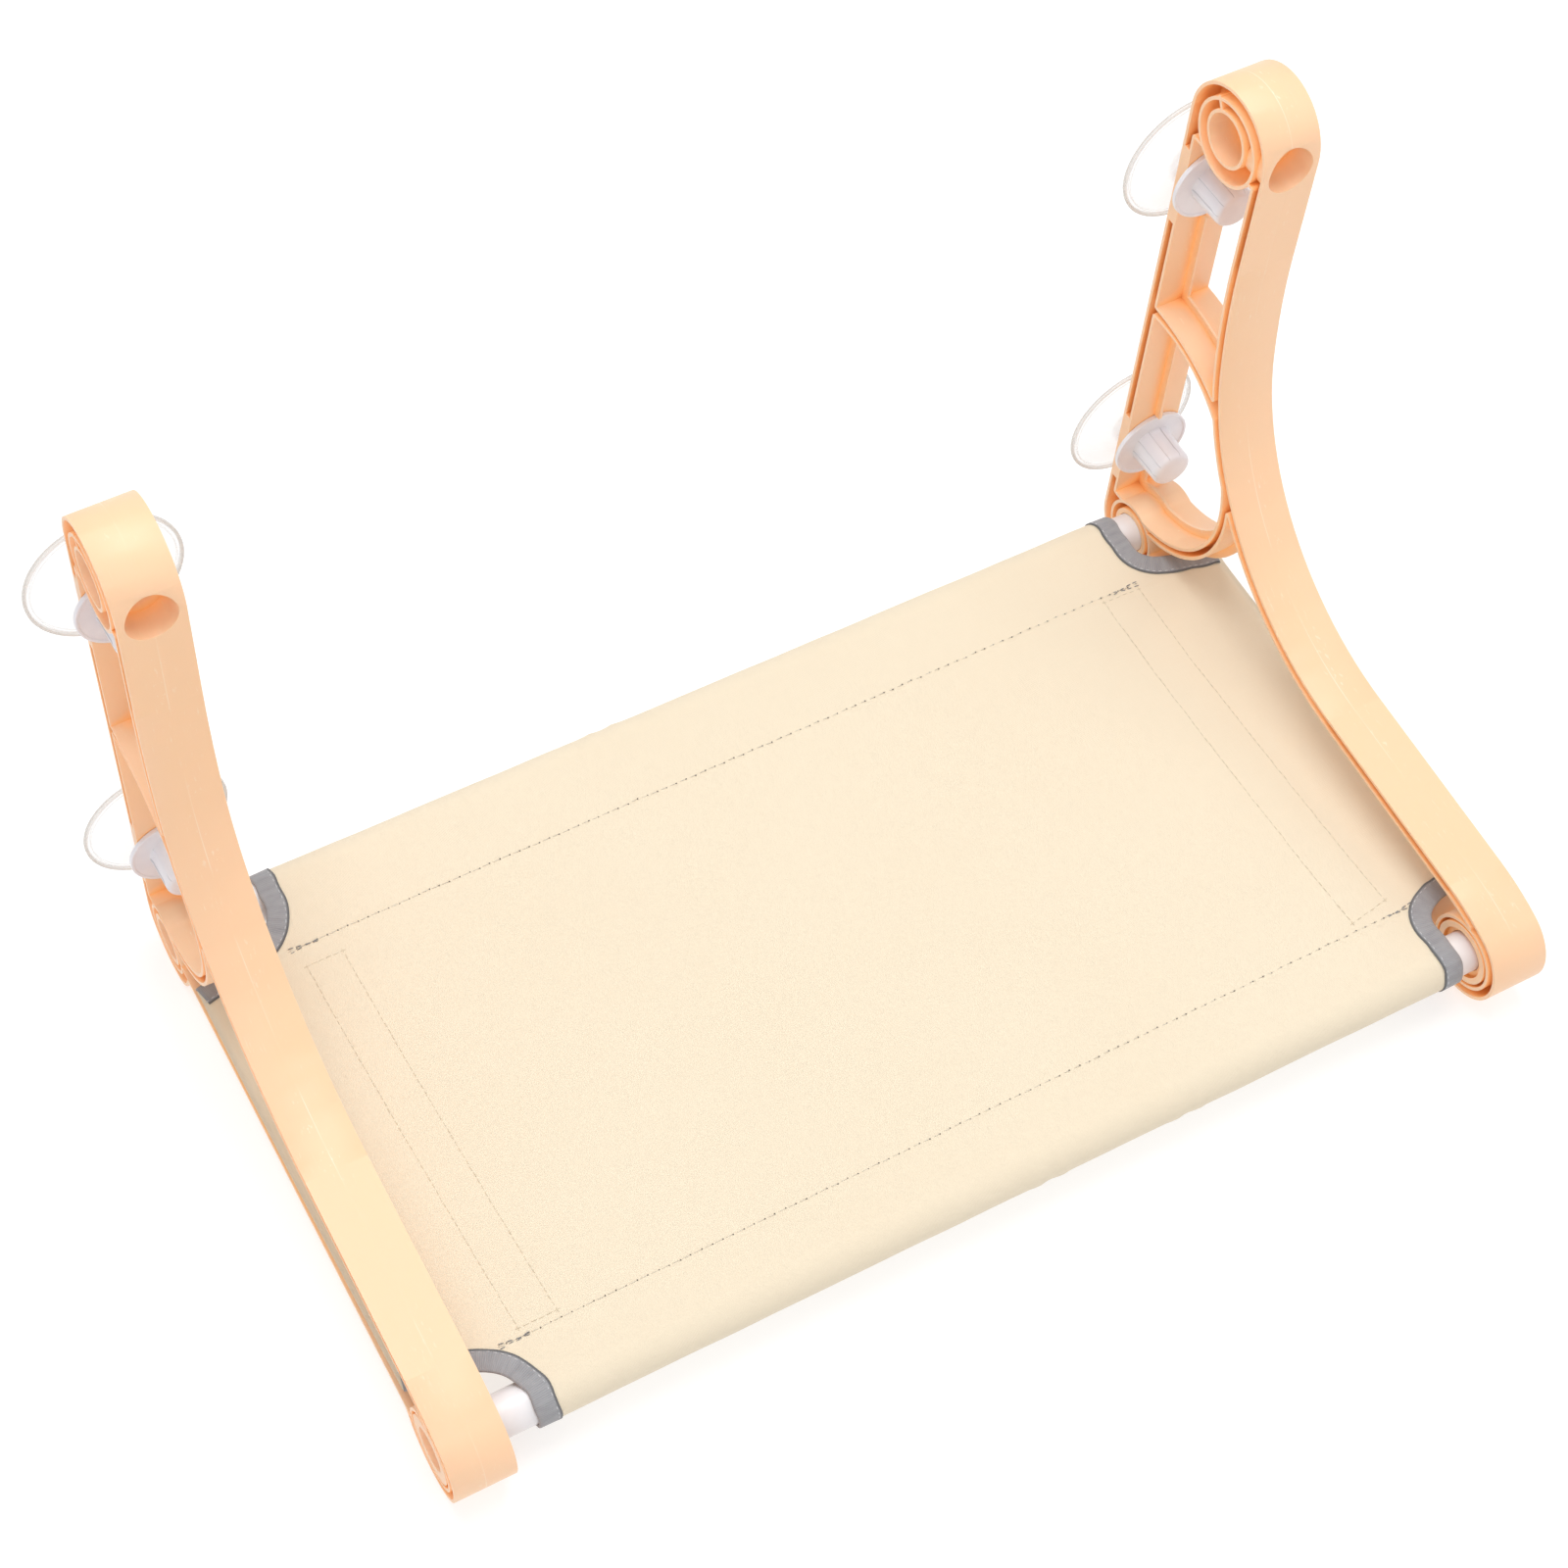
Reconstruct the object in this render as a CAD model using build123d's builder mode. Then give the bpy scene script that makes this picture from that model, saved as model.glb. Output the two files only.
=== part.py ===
"""Cat window hammock: two moulded side brackets held to a window pane by four
suction cups, two tubes between the brackets, and a canvas sling sewn round the tubes.

Millimetres. X runs along the tubes, +Y points through the pane, +Z is up.
The origin lies on the pane, midway between the brackets and between the two rows of cups.
"""

import os

from build123d import *

os.makedirs("parts", exist_ok=True)

# Overall sizes
overall_width = 556.0
bracket_width = 29.0
glass_gap = 11.0
cup_spacing = 181.0
overrun = 1.0

# Bracket walls
ribbon_wall = 1.6
web_thickness = 1.8
leg_depth = 6.5
ridge_height = 4.2
link_depth = 6.0
rail_thickness = 2.6
rib_thickness = 1.6
ring_wall = 1.6

# Bracket outline, down the front from the round head to the front socket. A rise is
# measured up from the upper cups' axis, and a fall down from the lower cups' axis
head_radius = 27.6
head_rise = 47.2
upper_bend_radius = 388.0
upper_bend_angle = 9.2
lower_bend_radius = 136.5
arm_slope = 3.6
arm_length = 99.0
nose_blend_radius = 100.0
nose_blend_angle = 17.0
front_socket_outer = 24.2
front_socket_fall = 40.4
rear_socket_outer = 23.7
rear_socket_fall = 45.3
rail_fall = 47.3
rail_fillet = 6.0

# Rings of the head
head_ring_radius = 21.0
head_ring_forward = 27.0
head_ring_rise = 46.4
eye_ring_radius = 13.8
eye_ring_forward = 26.1
eye_ring_rise = 47.7
head_rib_angle = 61.0
window_rise = 31.5
window_front_rise = 38.0

# Front bore of the head
bore_radius = 11.3
bore_wall = 1.4
bore_depth = 14.5
bore_floor = 1.4

# Cross-piece, link and the windows that they leave
cross_arch_radius = 103.0
cross_arch_forward = 8.2
cross_arch_top = 13.6
egg_arch_radius = 68.0
egg_arch_forward = 15.5
egg_arch_top = 7.4
link_radius = 58.3
link_centre_forward = 23.2
link_centre_over_cup = 28.4
link_top_over_cup = 50.5
egg_floor_fall = 31.5

# Pads behind the clamp nuts
pad_length = 46.0

# Tubes and their sockets
tube_radius = 10.0
tube_wall = 1.2
socket_clearance = 0.3
collar_radius = 13.0
collar_set_back = 2.2
front_collar_radius = 16.2
groove_ring_radius = 17.5
nose_ring_radius = 19.3

# Suction cups
cup_radius = 35.0
cup_rim_thickness = 1.6
cup_lip_width = 1.4
cup_hollow_depth = 4.0
cup_hub_radius = 11.0
cup_shoulder = 7.6
cup_neck_radius = 14.0

# Threaded studs
stud_radius = 4.0
stud_head_radius = 7.5
stud_head_thickness = 2.0
stud_skin = 1.2
stud_chamfer = 0.6
moulded_clearance = 0.05

# Clamp nuts
nut_flange_radius = 20.0
nut_flange_thickness = 1.8
nut_rim_width = 1.2
nut_rim_height = 0.6
nut_knob_radius = 10.6
nut_knob_length = 20.0
nut_knob_fillet = 4.0
nut_bore_depth = 15.0
nut_panel_count = 5
nut_panel_width = 6.4
nut_panel_step = 0.4
nut_panel_margin = 1.0

# Canvas sling
canvas_thickness = 1.0
loop_clearance = 0.3
sling_side_gap = 0.5
sling_sag = 7.0
rear_seam_forward = 60.0
front_seam_back = 26.0
seam_tip = 0.1
seam_allowance = 3.0
pocket_inset = 45.0
rear_notch_forward = 46.0
rear_notch_end = 62.0
front_notch_back = 18.0
front_notch_end = 37.0
notch_fillet = 12.0

# Binding tape round the notches
binding_width = 9.5
binding_thickness = 0.6
binding_fold = 1.0
binding_clearance = 0.3

# Stiffening tapes sewn under the sheet
tape_inset = 49.0
tape_width = 20.0
tape_thickness = 0.8
tape_end_gap = 2.0

# Running clearances
stud_hole_clearance = 0.1
nut_bore_clearance = 0.1
seat_clearance = 0.1
spot_clearance = 1.0

# Places worked out from the sizes above
bracket_x = (overall_width - bracket_width) / 2
cup_height = cup_spacing / 2
head_height = cup_height + head_rise
head_ring_height = cup_height + head_ring_rise
eye_ring_height = cup_height + eye_ring_rise
window_top = cup_height + window_rise
window_front_top = cup_height + window_front_rise
front_socket_drop = cup_height + front_socket_fall
rear_socket_drop = cup_height + rear_socket_fall
rail_drop = cup_height + rail_fall
egg_floor_drop = cup_height + egg_floor_fall
link_centre_drop = cup_height - link_centre_over_cup
link_top_drop = cup_height - link_top_over_cup
rear_socket = Vector(-rear_socket_outer, -rear_socket_drop)
head_ring_centre = Vector(-head_ring_forward, head_ring_height)
eye_ring_centre = Vector(-eye_ring_forward, eye_ring_height)
link_centre = Vector(-link_centre_forward, -link_centre_drop)
socket_bore = tube_radius + socket_clearance
sides = {"left": -1, "right": 1}
levels = {"lower": -1, "upper": 1}


def profile_plane(x):
    """The plane of a bracket's outline: its own x points to the pane, its own y points up."""
    return Plane(origin=(x, -glass_gap, 0), x_dir=(0, 1, 0), z_dir=(1, 0, 0))


def cup_plane(x, z):
    """A plane through a suction cup's axis: its own x is the radius, its own y points to the pane."""
    return Plane(origin=(x, 0, z), x_dir=(1, 0, 0), z_dir=(0, 0, 1))


# Front edge of the bracket below its straight stretch, drawn from the origin downwards
with BuildLine() as front_edge:
    upper_bend = JernArc((0, 0), (0, -1), upper_bend_radius, -upper_bend_angle)
    lower_turn = 90 - upper_bend_angle - arm_slope
    lower_bend = JernArc(upper_bend @ 1, upper_bend % 1, lower_bend_radius, -lower_turn)
    arm = Line(lower_bend @ 1, lower_bend @ 1 + (lower_bend % 1) * arm_length)
    blend = JernArc(arm @ 1, arm % 1, nose_blend_radius, nose_blend_angle)
    nose = JernArc(blend @ 1, blend % 1, front_socket_outer, 90 - arm_slope - nose_blend_angle)

# The edge starts where its nose comes down to the height of the front socket
bend_start = Vector(-2 * head_radius, -front_socket_drop - nose.arc_center.Y)
front_socket = bend_start + nose.arc_center

# Outline of the bracket, seen from the side
with BuildSketch() as outline:
    with BuildLine():
        back = Line((0, -rear_socket_drop), (0, head_height))
        head = JernArc(back @ 1, back % 1, head_radius, 180)
        Line(head @ 1, bend_start)
        add(front_edge.line.moved(Location(bend_start)))
        Polyline(
            bend_start + nose @ 1,
            front_socket,
            (front_socket.X, -rail_drop),
            (rear_socket.X, -rail_drop),
            rear_socket,
            back @ 0,
        )
    make_face()
    with Locations(rear_socket):
        Circle(rear_socket_outer)
    with Locations(front_socket):
        Circle(front_socket_outer)
    rail_corners = outline.vertices().filter_by(lambda v: abs(v.Y + rail_drop) < ribbon_wall)
    fillet(rail_corners, rail_fillet)

# Everything inside the ribbon and its inner wall, down to the top of the bottom rail
arm_span = rear_socket.X - front_socket.X
with BuildSketch() as inside:
    add(outline.sketch)
    offset(amount=-leg_depth)
    with Locations((rear_socket.X, rail_thickness - rail_drop)):
        Rectangle(arm_span, leg_depth, align=(Align.MAX, Align.MIN))

# The band between the upper window and the egg window
with BuildSketch() as cross_piece:
    with Locations((-cross_arch_forward, cross_arch_top - cross_arch_radius)):
        Circle(cross_arch_radius)
    with Locations((-egg_arch_forward, egg_arch_top - egg_arch_radius)):
        Circle(egg_arch_radius, mode=Mode.SUBTRACT)
    with Locations((0, -link_top_drop)):
        Rectangle(cross_arch_radius, cross_arch_radius, align=(Align.MAX, Align.MIN), mode=Mode.INTERSECT)

# The curved link under the egg window, from the rear socket up to the arm
with BuildSketch() as link:
    with Locations(link_centre):
        Circle(link_radius + link_depth)
        Circle(link_radius, mode=Mode.SUBTRACT)
    with Locations((link_centre.X, -link_top_drop)):
        Rectangle(2 * link_radius, 2 * link_radius, align=Align.MAX, mode=Mode.INTERSECT)

# The three windows of a bracket
with BuildSketch() as windows:
    add(inside.sketch)
    add(cross_piece.sketch, mode=Mode.SUBTRACT)
    add(link.sketch, mode=Mode.SUBTRACT)
    with Locations(head_ring_centre):
        Circle(head_ring_radius, mode=Mode.SUBTRACT)
    with Locations(rear_socket):
        Circle(groove_ring_radius, mode=Mode.SUBTRACT)
    with Locations(front_socket):
        Circle(nose_ring_radius, mode=Mode.SUBTRACT)
    with Locations((0, window_top)):
        Rectangle(head_ring_forward, head_height, align=(Align.MAX, Align.MIN), mode=Mode.SUBTRACT)
    with Locations((0, window_front_top)):
        Rectangle(2 * head_radius, head_height, align=(Align.MAX, Align.MIN), mode=Mode.SUBTRACT)
    with Locations((0, -egg_floor_drop)):
        Rectangle(rear_socket_outer, rear_socket_outer, align=Align.MAX, mode=Mode.SUBTRACT)
    with Locations((0, rail_thickness - rail_drop)):
        Rectangle(-front_socket.X, rear_socket_outer, align=Align.MAX, mode=Mode.SUBTRACT)

# Walls that run the whole width of a bracket: ribbon, window walls, rings, pads and rib
with BuildSketch() as inner_edge:
    add(outline.sketch)
    offset(amount=-ribbon_wall)
with BuildSketch() as window_walls:
    add(windows.sketch)
    offset(amount=ribbon_wall)
    add(windows.sketch, mode=Mode.SUBTRACT)
rings = [
    (head_ring_centre, head_ring_radius, head_ring_radius - ring_wall),
    (eye_ring_centre, eye_ring_radius, eye_ring_radius - ring_wall),
    (rear_socket, groove_ring_radius, groove_ring_radius - ring_wall),
    (rear_socket, collar_radius, socket_bore),
    (front_socket, nose_ring_radius, nose_ring_radius - ring_wall),
    (front_socket, front_collar_radius, socket_bore),
]
with BuildSketch() as walls:
    add(outline.sketch)
    add(inner_edge.sketch, mode=Mode.SUBTRACT)
    add(window_walls.sketch)
    for centre, outer, inner in rings:
        with Locations(centre):
            Circle(outer)
            Circle(inner, mode=Mode.SUBTRACT)
    with Locations((0, cup_height), (0, -cup_height)):
        Rectangle(leg_depth, pad_length, align=(Align.MAX, Align.CENTER))
    with Locations(Location(eye_ring_centre, Axis.Z.direction, head_rib_angle)):
        with Locations((eye_ring_radius - ring_wall / 2, 0)):
            Rectangle(head_ring_radius - eye_ring_radius, rib_thickness, align=(Align.MIN, Align.CENTER))

# Web at the middle of the width, standing into each window as a ridge
with BuildSketch() as ridge_edge:
    add(windows.sketch)
    offset(amount=-ridge_height)
with BuildSketch() as web:
    add(outline.sketch)
    add(ridge_edge.sketch, mode=Mode.SUBTRACT)
    with Locations((rear_socket.X, rail_thickness - rail_drop)):
        Rectangle(arm_span, 2 * ridge_height, align=(Align.MAX, Align.MIN), mode=Mode.SUBTRACT)
    for centre, outer, inner in rings:
        with Locations(centre):
            Circle(outer)

# The two side brackets, the same moulding at each end of the tubes
seat_y = -glass_gap - leg_depth
head_front_y = -glass_gap - 2 * head_radius
bore_back_y = head_front_y + bore_depth + bore_floor
for side_name, side in sides.items():
    middle = side * bracket_x
    with BuildPart() as bracket:
        # Wall and floor of the front bore, trimmed to the round head
        with BuildSketch(Plane(origin=(middle, bore_back_y, eye_ring_height), z_dir=(0, -1, 0))):
            Circle(bore_radius + bore_wall)
        extrude(amount=bore_back_y - head_front_y)
        with BuildSketch(profile_plane(middle)):
            add(outline.sketch)
        extrude(amount=bracket_width / 2, both=True, mode=Mode.INTERSECT)
        # Walls over the whole width, then the web that joins them
        with BuildSketch(profile_plane(middle)):
            add(walls.sketch)
        extrude(amount=bracket_width / 2, both=True)
        with BuildSketch(profile_plane(middle)):
            add(web.sketch)
        extrude(amount=web_thickness / 2, both=True)
        with Locations(Plane(origin=(middle, head_front_y, eye_ring_height), z_dir=(0, -1, 0))):
            Hole(bore_radius, bore_depth)
        # The front socket's mouth is wider than its tube for a short way
        with BuildSketch(profile_plane(middle - side * bracket_width / 2)):
            with Locations(front_socket):
                Circle(collar_radius)
        extrude(amount=side * collar_set_back, mode=Mode.SUBTRACT)
        # Stud holes through the pads, with the ridge cut back round each nut
        for level in levels.values():
            with BuildSketch(Plane(origin=(middle, seat_y, level * cup_height), z_dir=(0, -1, 0))):
                Circle(nut_flange_radius + spot_clearance)
            extrude(amount=ridge_height + overrun, mode=Mode.SUBTRACT)
            with Locations(Plane(origin=(middle, -glass_gap, level * cup_height), z_dir=(0, -1, 0))):
                Hole(stud_radius + stud_hole_clearance, leg_depth + overrun)
    bracket.part.label = f"{side_name}_bracket"
    export_step(bracket.part, f"parts/{side_name}_bracket.step")

# The two tubes, each held in the sockets of both brackets
tube_half = bracket_x - web_thickness / 2 - socket_clearance
tube_places = {"rear": rear_socket, "front": front_socket}
for tube_name, centre in tube_places.items():
    with BuildPart() as tube:
        with BuildSketch(profile_plane(0)):
            with Locations(centre):
                Circle(tube_radius)
                Circle(tube_radius - tube_wall, mode=Mode.SUBTRACT)
        extrude(amount=tube_half, both=True)
    tube.part.label = f"{tube_name}_tube"
    export_step(tube.part, f"parts/{tube_name}_tube.step")

# Section of the canvas sling: a sagging sheet between two sewn loops
loop_radius = tube_radius + loop_clearance
roll_radius = loop_radius + canvas_thickness
seam_forward = {"rear": -rear_seam_forward, "front": front_socket.X + front_seam_back}
sheet_chord = front_socket.X - rear_socket.X


def sheet_height(along):
    """Height of the sheet's upper face at a place along the outline's own x."""
    share = (along - rear_socket.X) / sheet_chord
    level_height = rear_socket.Y + share * (front_socket.Y - rear_socket.Y) + roll_radius
    return level_height - 4 * sling_sag * share * (1 - share)


def sheet_band(start, end, top_gap, thickness):
    """A band that follows the sheet from start to end, its top this far under the sheet's top."""
    places = [start, (start + end) / 2, end]
    upper = [(along, sheet_height(along) - top_gap) for along in places]
    lower = [(along, sheet_height(along) - top_gap - thickness) for along in places]
    with BuildSketch() as band:
        with BuildLine():
            ThreePointArc(*upper)
            Line(upper[2], lower[2])
            ThreePointArc(*reversed(lower))
            Line(lower[0], upper[0])
        make_face()
    return band.sketch


def loop_hull(centre, seam, radius, tip_shift, tip_radius):
    """A teardrop round a tube that closes at a seam."""
    tip = (seam + tip_shift, sheet_height(seam) - canvas_thickness)
    with BuildSketch() as teardrop:
        with Locations(centre):
            Circle(radius)
        with Locations(tip):
            Circle(tip_radius)
        make_hull()
    return teardrop.sketch


def sling_outer(grow):
    """The sling's section with its loops filled, grown all round."""
    with BuildSketch() as filled:
        band = sheet_band(seam_forward["rear"], seam_forward["front"], -grow, canvas_thickness + 2 * grow)
        add(band)
        for name, centre in tube_places.items():
            add(loop_hull(centre, seam_forward[name], roll_radius + grow, 0, canvas_thickness + grow))
    return filled.sketch


def loop_hollows():
    """The room inside the two loops."""
    with BuildSketch() as hollows:
        for name, centre in tube_places.items():
            shift = seam_allowance if name == "rear" else -seam_allowance
            add(loop_hull(centre, seam_forward[name], loop_radius, shift, seam_tip))
    return hollows.sketch


# Plan of the notches cut from the four corners of the canvas
sling_half = overall_width / 2 - sling_side_gap
pocket_half = overall_width / 2 - pocket_inset
rear_reach = glass_gap
front_reach = front_socket.X - 2 * front_socket_outer
with BuildSketch() as notches:
    with BuildLine():
        Polyline(
            (pocket_half, rear_reach),
            (pocket_half, -rear_notch_forward),
            (sling_half, -rear_notch_end),
            (sling_half + bracket_width, -rear_notch_end),
            (sling_half + bracket_width, rear_reach),
            close=True,
        )
    make_face()
    with BuildLine():
        Polyline(
            (pocket_half, front_reach),
            (pocket_half, front_socket.X + front_notch_back),
            (sling_half, front_socket.X + front_notch_end),
            (sling_half + bracket_width, front_socket.X + front_notch_end),
            (sling_half + bracket_width, front_reach),
            close=True,
        )
    make_face()
    inner_corners = notches.vertices().filter_by(
        lambda v: v.X < pocket_half + overrun and front_reach + overrun < v.Y < rear_reach - overrun
    )
    fillet(inner_corners, notch_fillet)
    mirror(about=Plane.YZ)

# Cuts in plan start under the sling and end over it
plan_plane = Plane(origin=(0, -glass_gap, -rear_socket_drop - 2 * rear_socket_outer))
plan_height = 4 * rear_socket_outer

with BuildPart() as sling:
    with BuildSketch(profile_plane(0)):
        add(sling_outer(0))
        add(loop_hollows(), mode=Mode.SUBTRACT)
    extrude(amount=sling_half, both=True)
    with BuildSketch(plan_plane):
        add(notches.sketch)
    extrude(amount=plan_height, mode=Mode.SUBTRACT)
sling.part.label = "sling"
export_step(sling.part, "parts/sling.step")

# Room that the canvas takes inside the binding
with BuildPart() as canvas_room:
    with BuildSketch(profile_plane(0)):
        add(sling_outer(binding_clearance))
        add(loop_hollows(), mode=Mode.SUBTRACT)
    extrude(amount=overall_width, both=True)
    with BuildSketch(plan_plane):
        add(notches.sketch)
        offset(amount=-binding_clearance)
    extrude(amount=plan_height, mode=Mode.SUBTRACT)

# Plan of the binding tape, from just outside each notch edge to the stitched width
with BuildSketch() as open_notches:
    add(notches.sketch)
    offset(amount=-binding_fold)
with BuildSketch() as binding_plan:
    add(notches.sketch)
    offset(amount=binding_width)
    add(open_notches.sketch, mode=Mode.SUBTRACT)

# Binding tape folded over the edge of each notch
for side_name, side in sides.items():
    for row_name in tube_places:
        half_align = Align.MIN if row_name == "rear" else Align.MAX
        with BuildPart() as binding:
            with BuildSketch(profile_plane(0)):
                add(sling_outer(binding_clearance + binding_thickness))
                add(loop_hollows(), mode=Mode.SUBTRACT)
            extrude(amount=side * sling_half)
            with BuildSketch(plan_plane):
                add(binding_plan.sketch)
                with Locations((0, sheet_chord / 2)):
                    Rectangle(
                        2 * overall_width,
                        overall_width,
                        align=(Align.CENTER, half_align),
                        mode=Mode.INTERSECT,
                    )
            extrude(amount=plan_height, mode=Mode.INTERSECT)
            add(canvas_room.part, mode=Mode.SUBTRACT)
        name = f"{side_name}_{row_name}_binding"
        binding.part.label = name
        export_step(binding.part, f"parts/{name}.step")

# Stiffening tapes under the sheet, between the two seams
for side_name, side in sides.items():
    with BuildPart() as tape:
        start = seam_forward["rear"] - tape_end_gap
        end = seam_forward["front"] + tape_end_gap
        with BuildSketch(profile_plane(side * (overall_width / 2 - tape_inset))):
            add(sheet_band(start, end, canvas_thickness + binding_clearance, tape_thickness))
        extrude(amount=-side * tape_width)
    tape.part.label = f"{side_name}_stiffening_tape"
    export_step(tape.part, f"parts/{side_name}_stiffening_tape.step")

# Places down the axis of a suction cup, its stud and its nut
cup_face_y = -glass_gap + seat_clearance
cup_lip = cup_radius - cup_lip_width
stud_head_y = -cup_hollow_depth - stud_skin
stud_back_y = stud_head_y - stud_head_thickness
nut_back_y = seat_y - seat_clearance
nut_front_y = nut_back_y - nut_flange_thickness
knob_front_y = nut_front_y - nut_knob_length
panel_foot_y = nut_front_y - nut_panel_margin
panel_length = nut_knob_length - nut_knob_fillet - 2 * nut_panel_margin
stud_front_y = nut_back_y - nut_bore_depth + stud_chamfer

# The dish that holds the vacuum rises in slopes from the lip to the middle
dish_shares = [(0.7, 0.51), (0.35, 0.88)]
dish = [(out * cup_lip, -deep * cup_hollow_depth) for out, deep in dish_shares]

# What is pressed out of a nut's knob between its raised panels
with BuildSketch() as panel_gaps:
    with PolarLocations(nut_knob_radius, nut_panel_count):
        Rectangle(nut_knob_radius, nut_panel_width)
    Circle(nut_knob_radius - nut_panel_step, mode=Mode.SUBTRACT)

# Suction cups, studs and clamp nuts, one of each at every pad
for side_name, side in sides.items():
    for level_name, level in levels.items():
        middle = side * bracket_x
        height = level * cup_height
        spin = Axis((middle, 0, height), (0, 1, 0))
        place = f"{side_name}_{level_name}"
        with BuildPart() as cup:
            with BuildSketch(cup_plane(middle, height)):
                with BuildLine():
                    Polyline(
                        (0, -cup_hollow_depth),
                        (0, stud_head_y + moulded_clearance),
                        (stud_head_radius + moulded_clearance, stud_head_y + moulded_clearance),
                        (stud_head_radius + moulded_clearance, stud_back_y - moulded_clearance),
                        (stud_radius + moulded_clearance, stud_back_y - moulded_clearance),
                        (stud_radius + moulded_clearance, cup_face_y),
                        (cup_hub_radius, cup_face_y),
                        (cup_hub_radius, -cup_shoulder),
                        (cup_neck_radius, -cup_shoulder),
                    )
                    skirt = ThreePointArc(
                        (cup_neck_radius, -cup_shoulder),
                        ((cup_neck_radius + cup_radius) / 2, -(cup_shoulder + 2 * cup_rim_thickness) / 2),
                        (cup_radius, -cup_rim_thickness),
                    )
                    Polyline(skirt @ 1, (cup_radius, 0), (cup_lip, 0), *dish, (0, -cup_hollow_depth))
                make_face()
            revolve(axis=spin)
        cup.part.label = f"{place}_suction_cup"
        export_step(cup.part, f"parts/{place}_suction_cup.step")

        with BuildPart() as stud:
            with BuildSketch(cup_plane(middle, height)):
                with Locations((0, stud_head_y)):
                    Rectangle(stud_head_radius, stud_head_thickness, align=(Align.MIN, Align.MAX))
                with Locations((0, stud_head_y)):
                    Rectangle(stud_radius, stud_head_y - stud_front_y, align=(Align.MIN, Align.MAX))
            revolve(axis=spin)
            chamfer(stud.edges().group_by(Axis.Y)[0], stud_chamfer)
        stud.part.label = f"{place}_stud"
        export_step(stud.part, f"parts/{place}_stud.step")

        with BuildPart() as nut:
            with BuildSketch(cup_plane(middle, height)):
                with Locations((0, nut_back_y)):
                    Rectangle(nut_flange_radius, nut_flange_thickness, align=(Align.MIN, Align.MAX))
                    Rectangle(nut_knob_radius, nut_back_y - knob_front_y, align=(Align.MIN, Align.MAX))
                with Locations((nut_flange_radius, nut_front_y)):
                    Rectangle(nut_rim_width, nut_rim_height, align=Align.MAX)
            revolve(axis=spin)
            fillet(nut.edges().group_by(Axis.Y)[0], nut_knob_fillet)
            with BuildSketch(Plane(origin=(middle, panel_foot_y, height), z_dir=(0, -1, 0))):
                add(panel_gaps.sketch)
            extrude(amount=panel_length, mode=Mode.SUBTRACT)
            with Locations(Plane(origin=(middle, nut_back_y, height), z_dir=(0, 1, 0))):
                Hole(stud_radius + nut_bore_clearance, nut_bore_depth)
        nut.part.label = f"{place}_clamp_nut"
        export_step(nut.part, f"parts/{place}_clamp_nut.step")
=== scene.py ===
# %% [markdown]
# # Cat window hammock
#
# A cat lies on a canvas sling between two moulded plastic brackets, and four clear
# suction cups hold the brackets to a window pane. The rigid pieces come from the frame,
# at their real size. This lesson makes what the frame leaves plain: sewn cloth, turned
# clear cups, ribbed knobs, and the finish of every surface.
# %% Load the frame
import math

import bmesh
import bpy
import numpy as np
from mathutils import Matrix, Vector


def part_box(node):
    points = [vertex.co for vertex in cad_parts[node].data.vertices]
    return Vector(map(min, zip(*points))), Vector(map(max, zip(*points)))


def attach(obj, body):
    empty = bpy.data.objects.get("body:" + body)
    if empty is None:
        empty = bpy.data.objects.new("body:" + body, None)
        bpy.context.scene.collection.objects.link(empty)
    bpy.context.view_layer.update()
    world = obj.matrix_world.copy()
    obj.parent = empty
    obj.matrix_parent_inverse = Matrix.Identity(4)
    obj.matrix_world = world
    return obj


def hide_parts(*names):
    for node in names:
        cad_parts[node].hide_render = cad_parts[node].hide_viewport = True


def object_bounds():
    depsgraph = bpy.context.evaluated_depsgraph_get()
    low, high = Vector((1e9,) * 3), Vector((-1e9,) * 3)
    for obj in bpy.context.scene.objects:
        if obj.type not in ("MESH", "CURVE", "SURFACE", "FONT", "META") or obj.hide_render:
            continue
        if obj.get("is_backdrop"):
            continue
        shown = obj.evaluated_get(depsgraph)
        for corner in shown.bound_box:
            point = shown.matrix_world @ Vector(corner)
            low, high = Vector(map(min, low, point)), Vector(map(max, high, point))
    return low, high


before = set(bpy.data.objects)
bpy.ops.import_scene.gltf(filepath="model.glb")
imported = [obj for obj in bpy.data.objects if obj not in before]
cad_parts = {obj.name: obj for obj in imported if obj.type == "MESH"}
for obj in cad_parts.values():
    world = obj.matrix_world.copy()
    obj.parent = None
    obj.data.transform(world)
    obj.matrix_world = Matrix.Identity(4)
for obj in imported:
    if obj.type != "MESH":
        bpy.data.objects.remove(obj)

cad_low, cad_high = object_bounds()
MM = 0.001
print("frame box in metres:", [round(v, 4) for v in cad_high - cad_low])

# %% [markdown]
# ## A small language for nodes
#
# A material or a Geometry Nodes tree is easier to read as arithmetic than as links. One
# class wraps a socket, so that `1 - mask` or `height * 0.2` adds the Math nodes. Every
# other kind of node comes from its method `node`, which sets the node's own settings
# first and then the values or links of its sockets.
# %% Sockets as expressions


def operators(operation):
    """A Math node as an operator of two values, and its reflected form."""
    return (
        lambda self, other: self.math(operation, self, other),
        lambda self, other: self.math(operation, other, self),
    )


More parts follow.
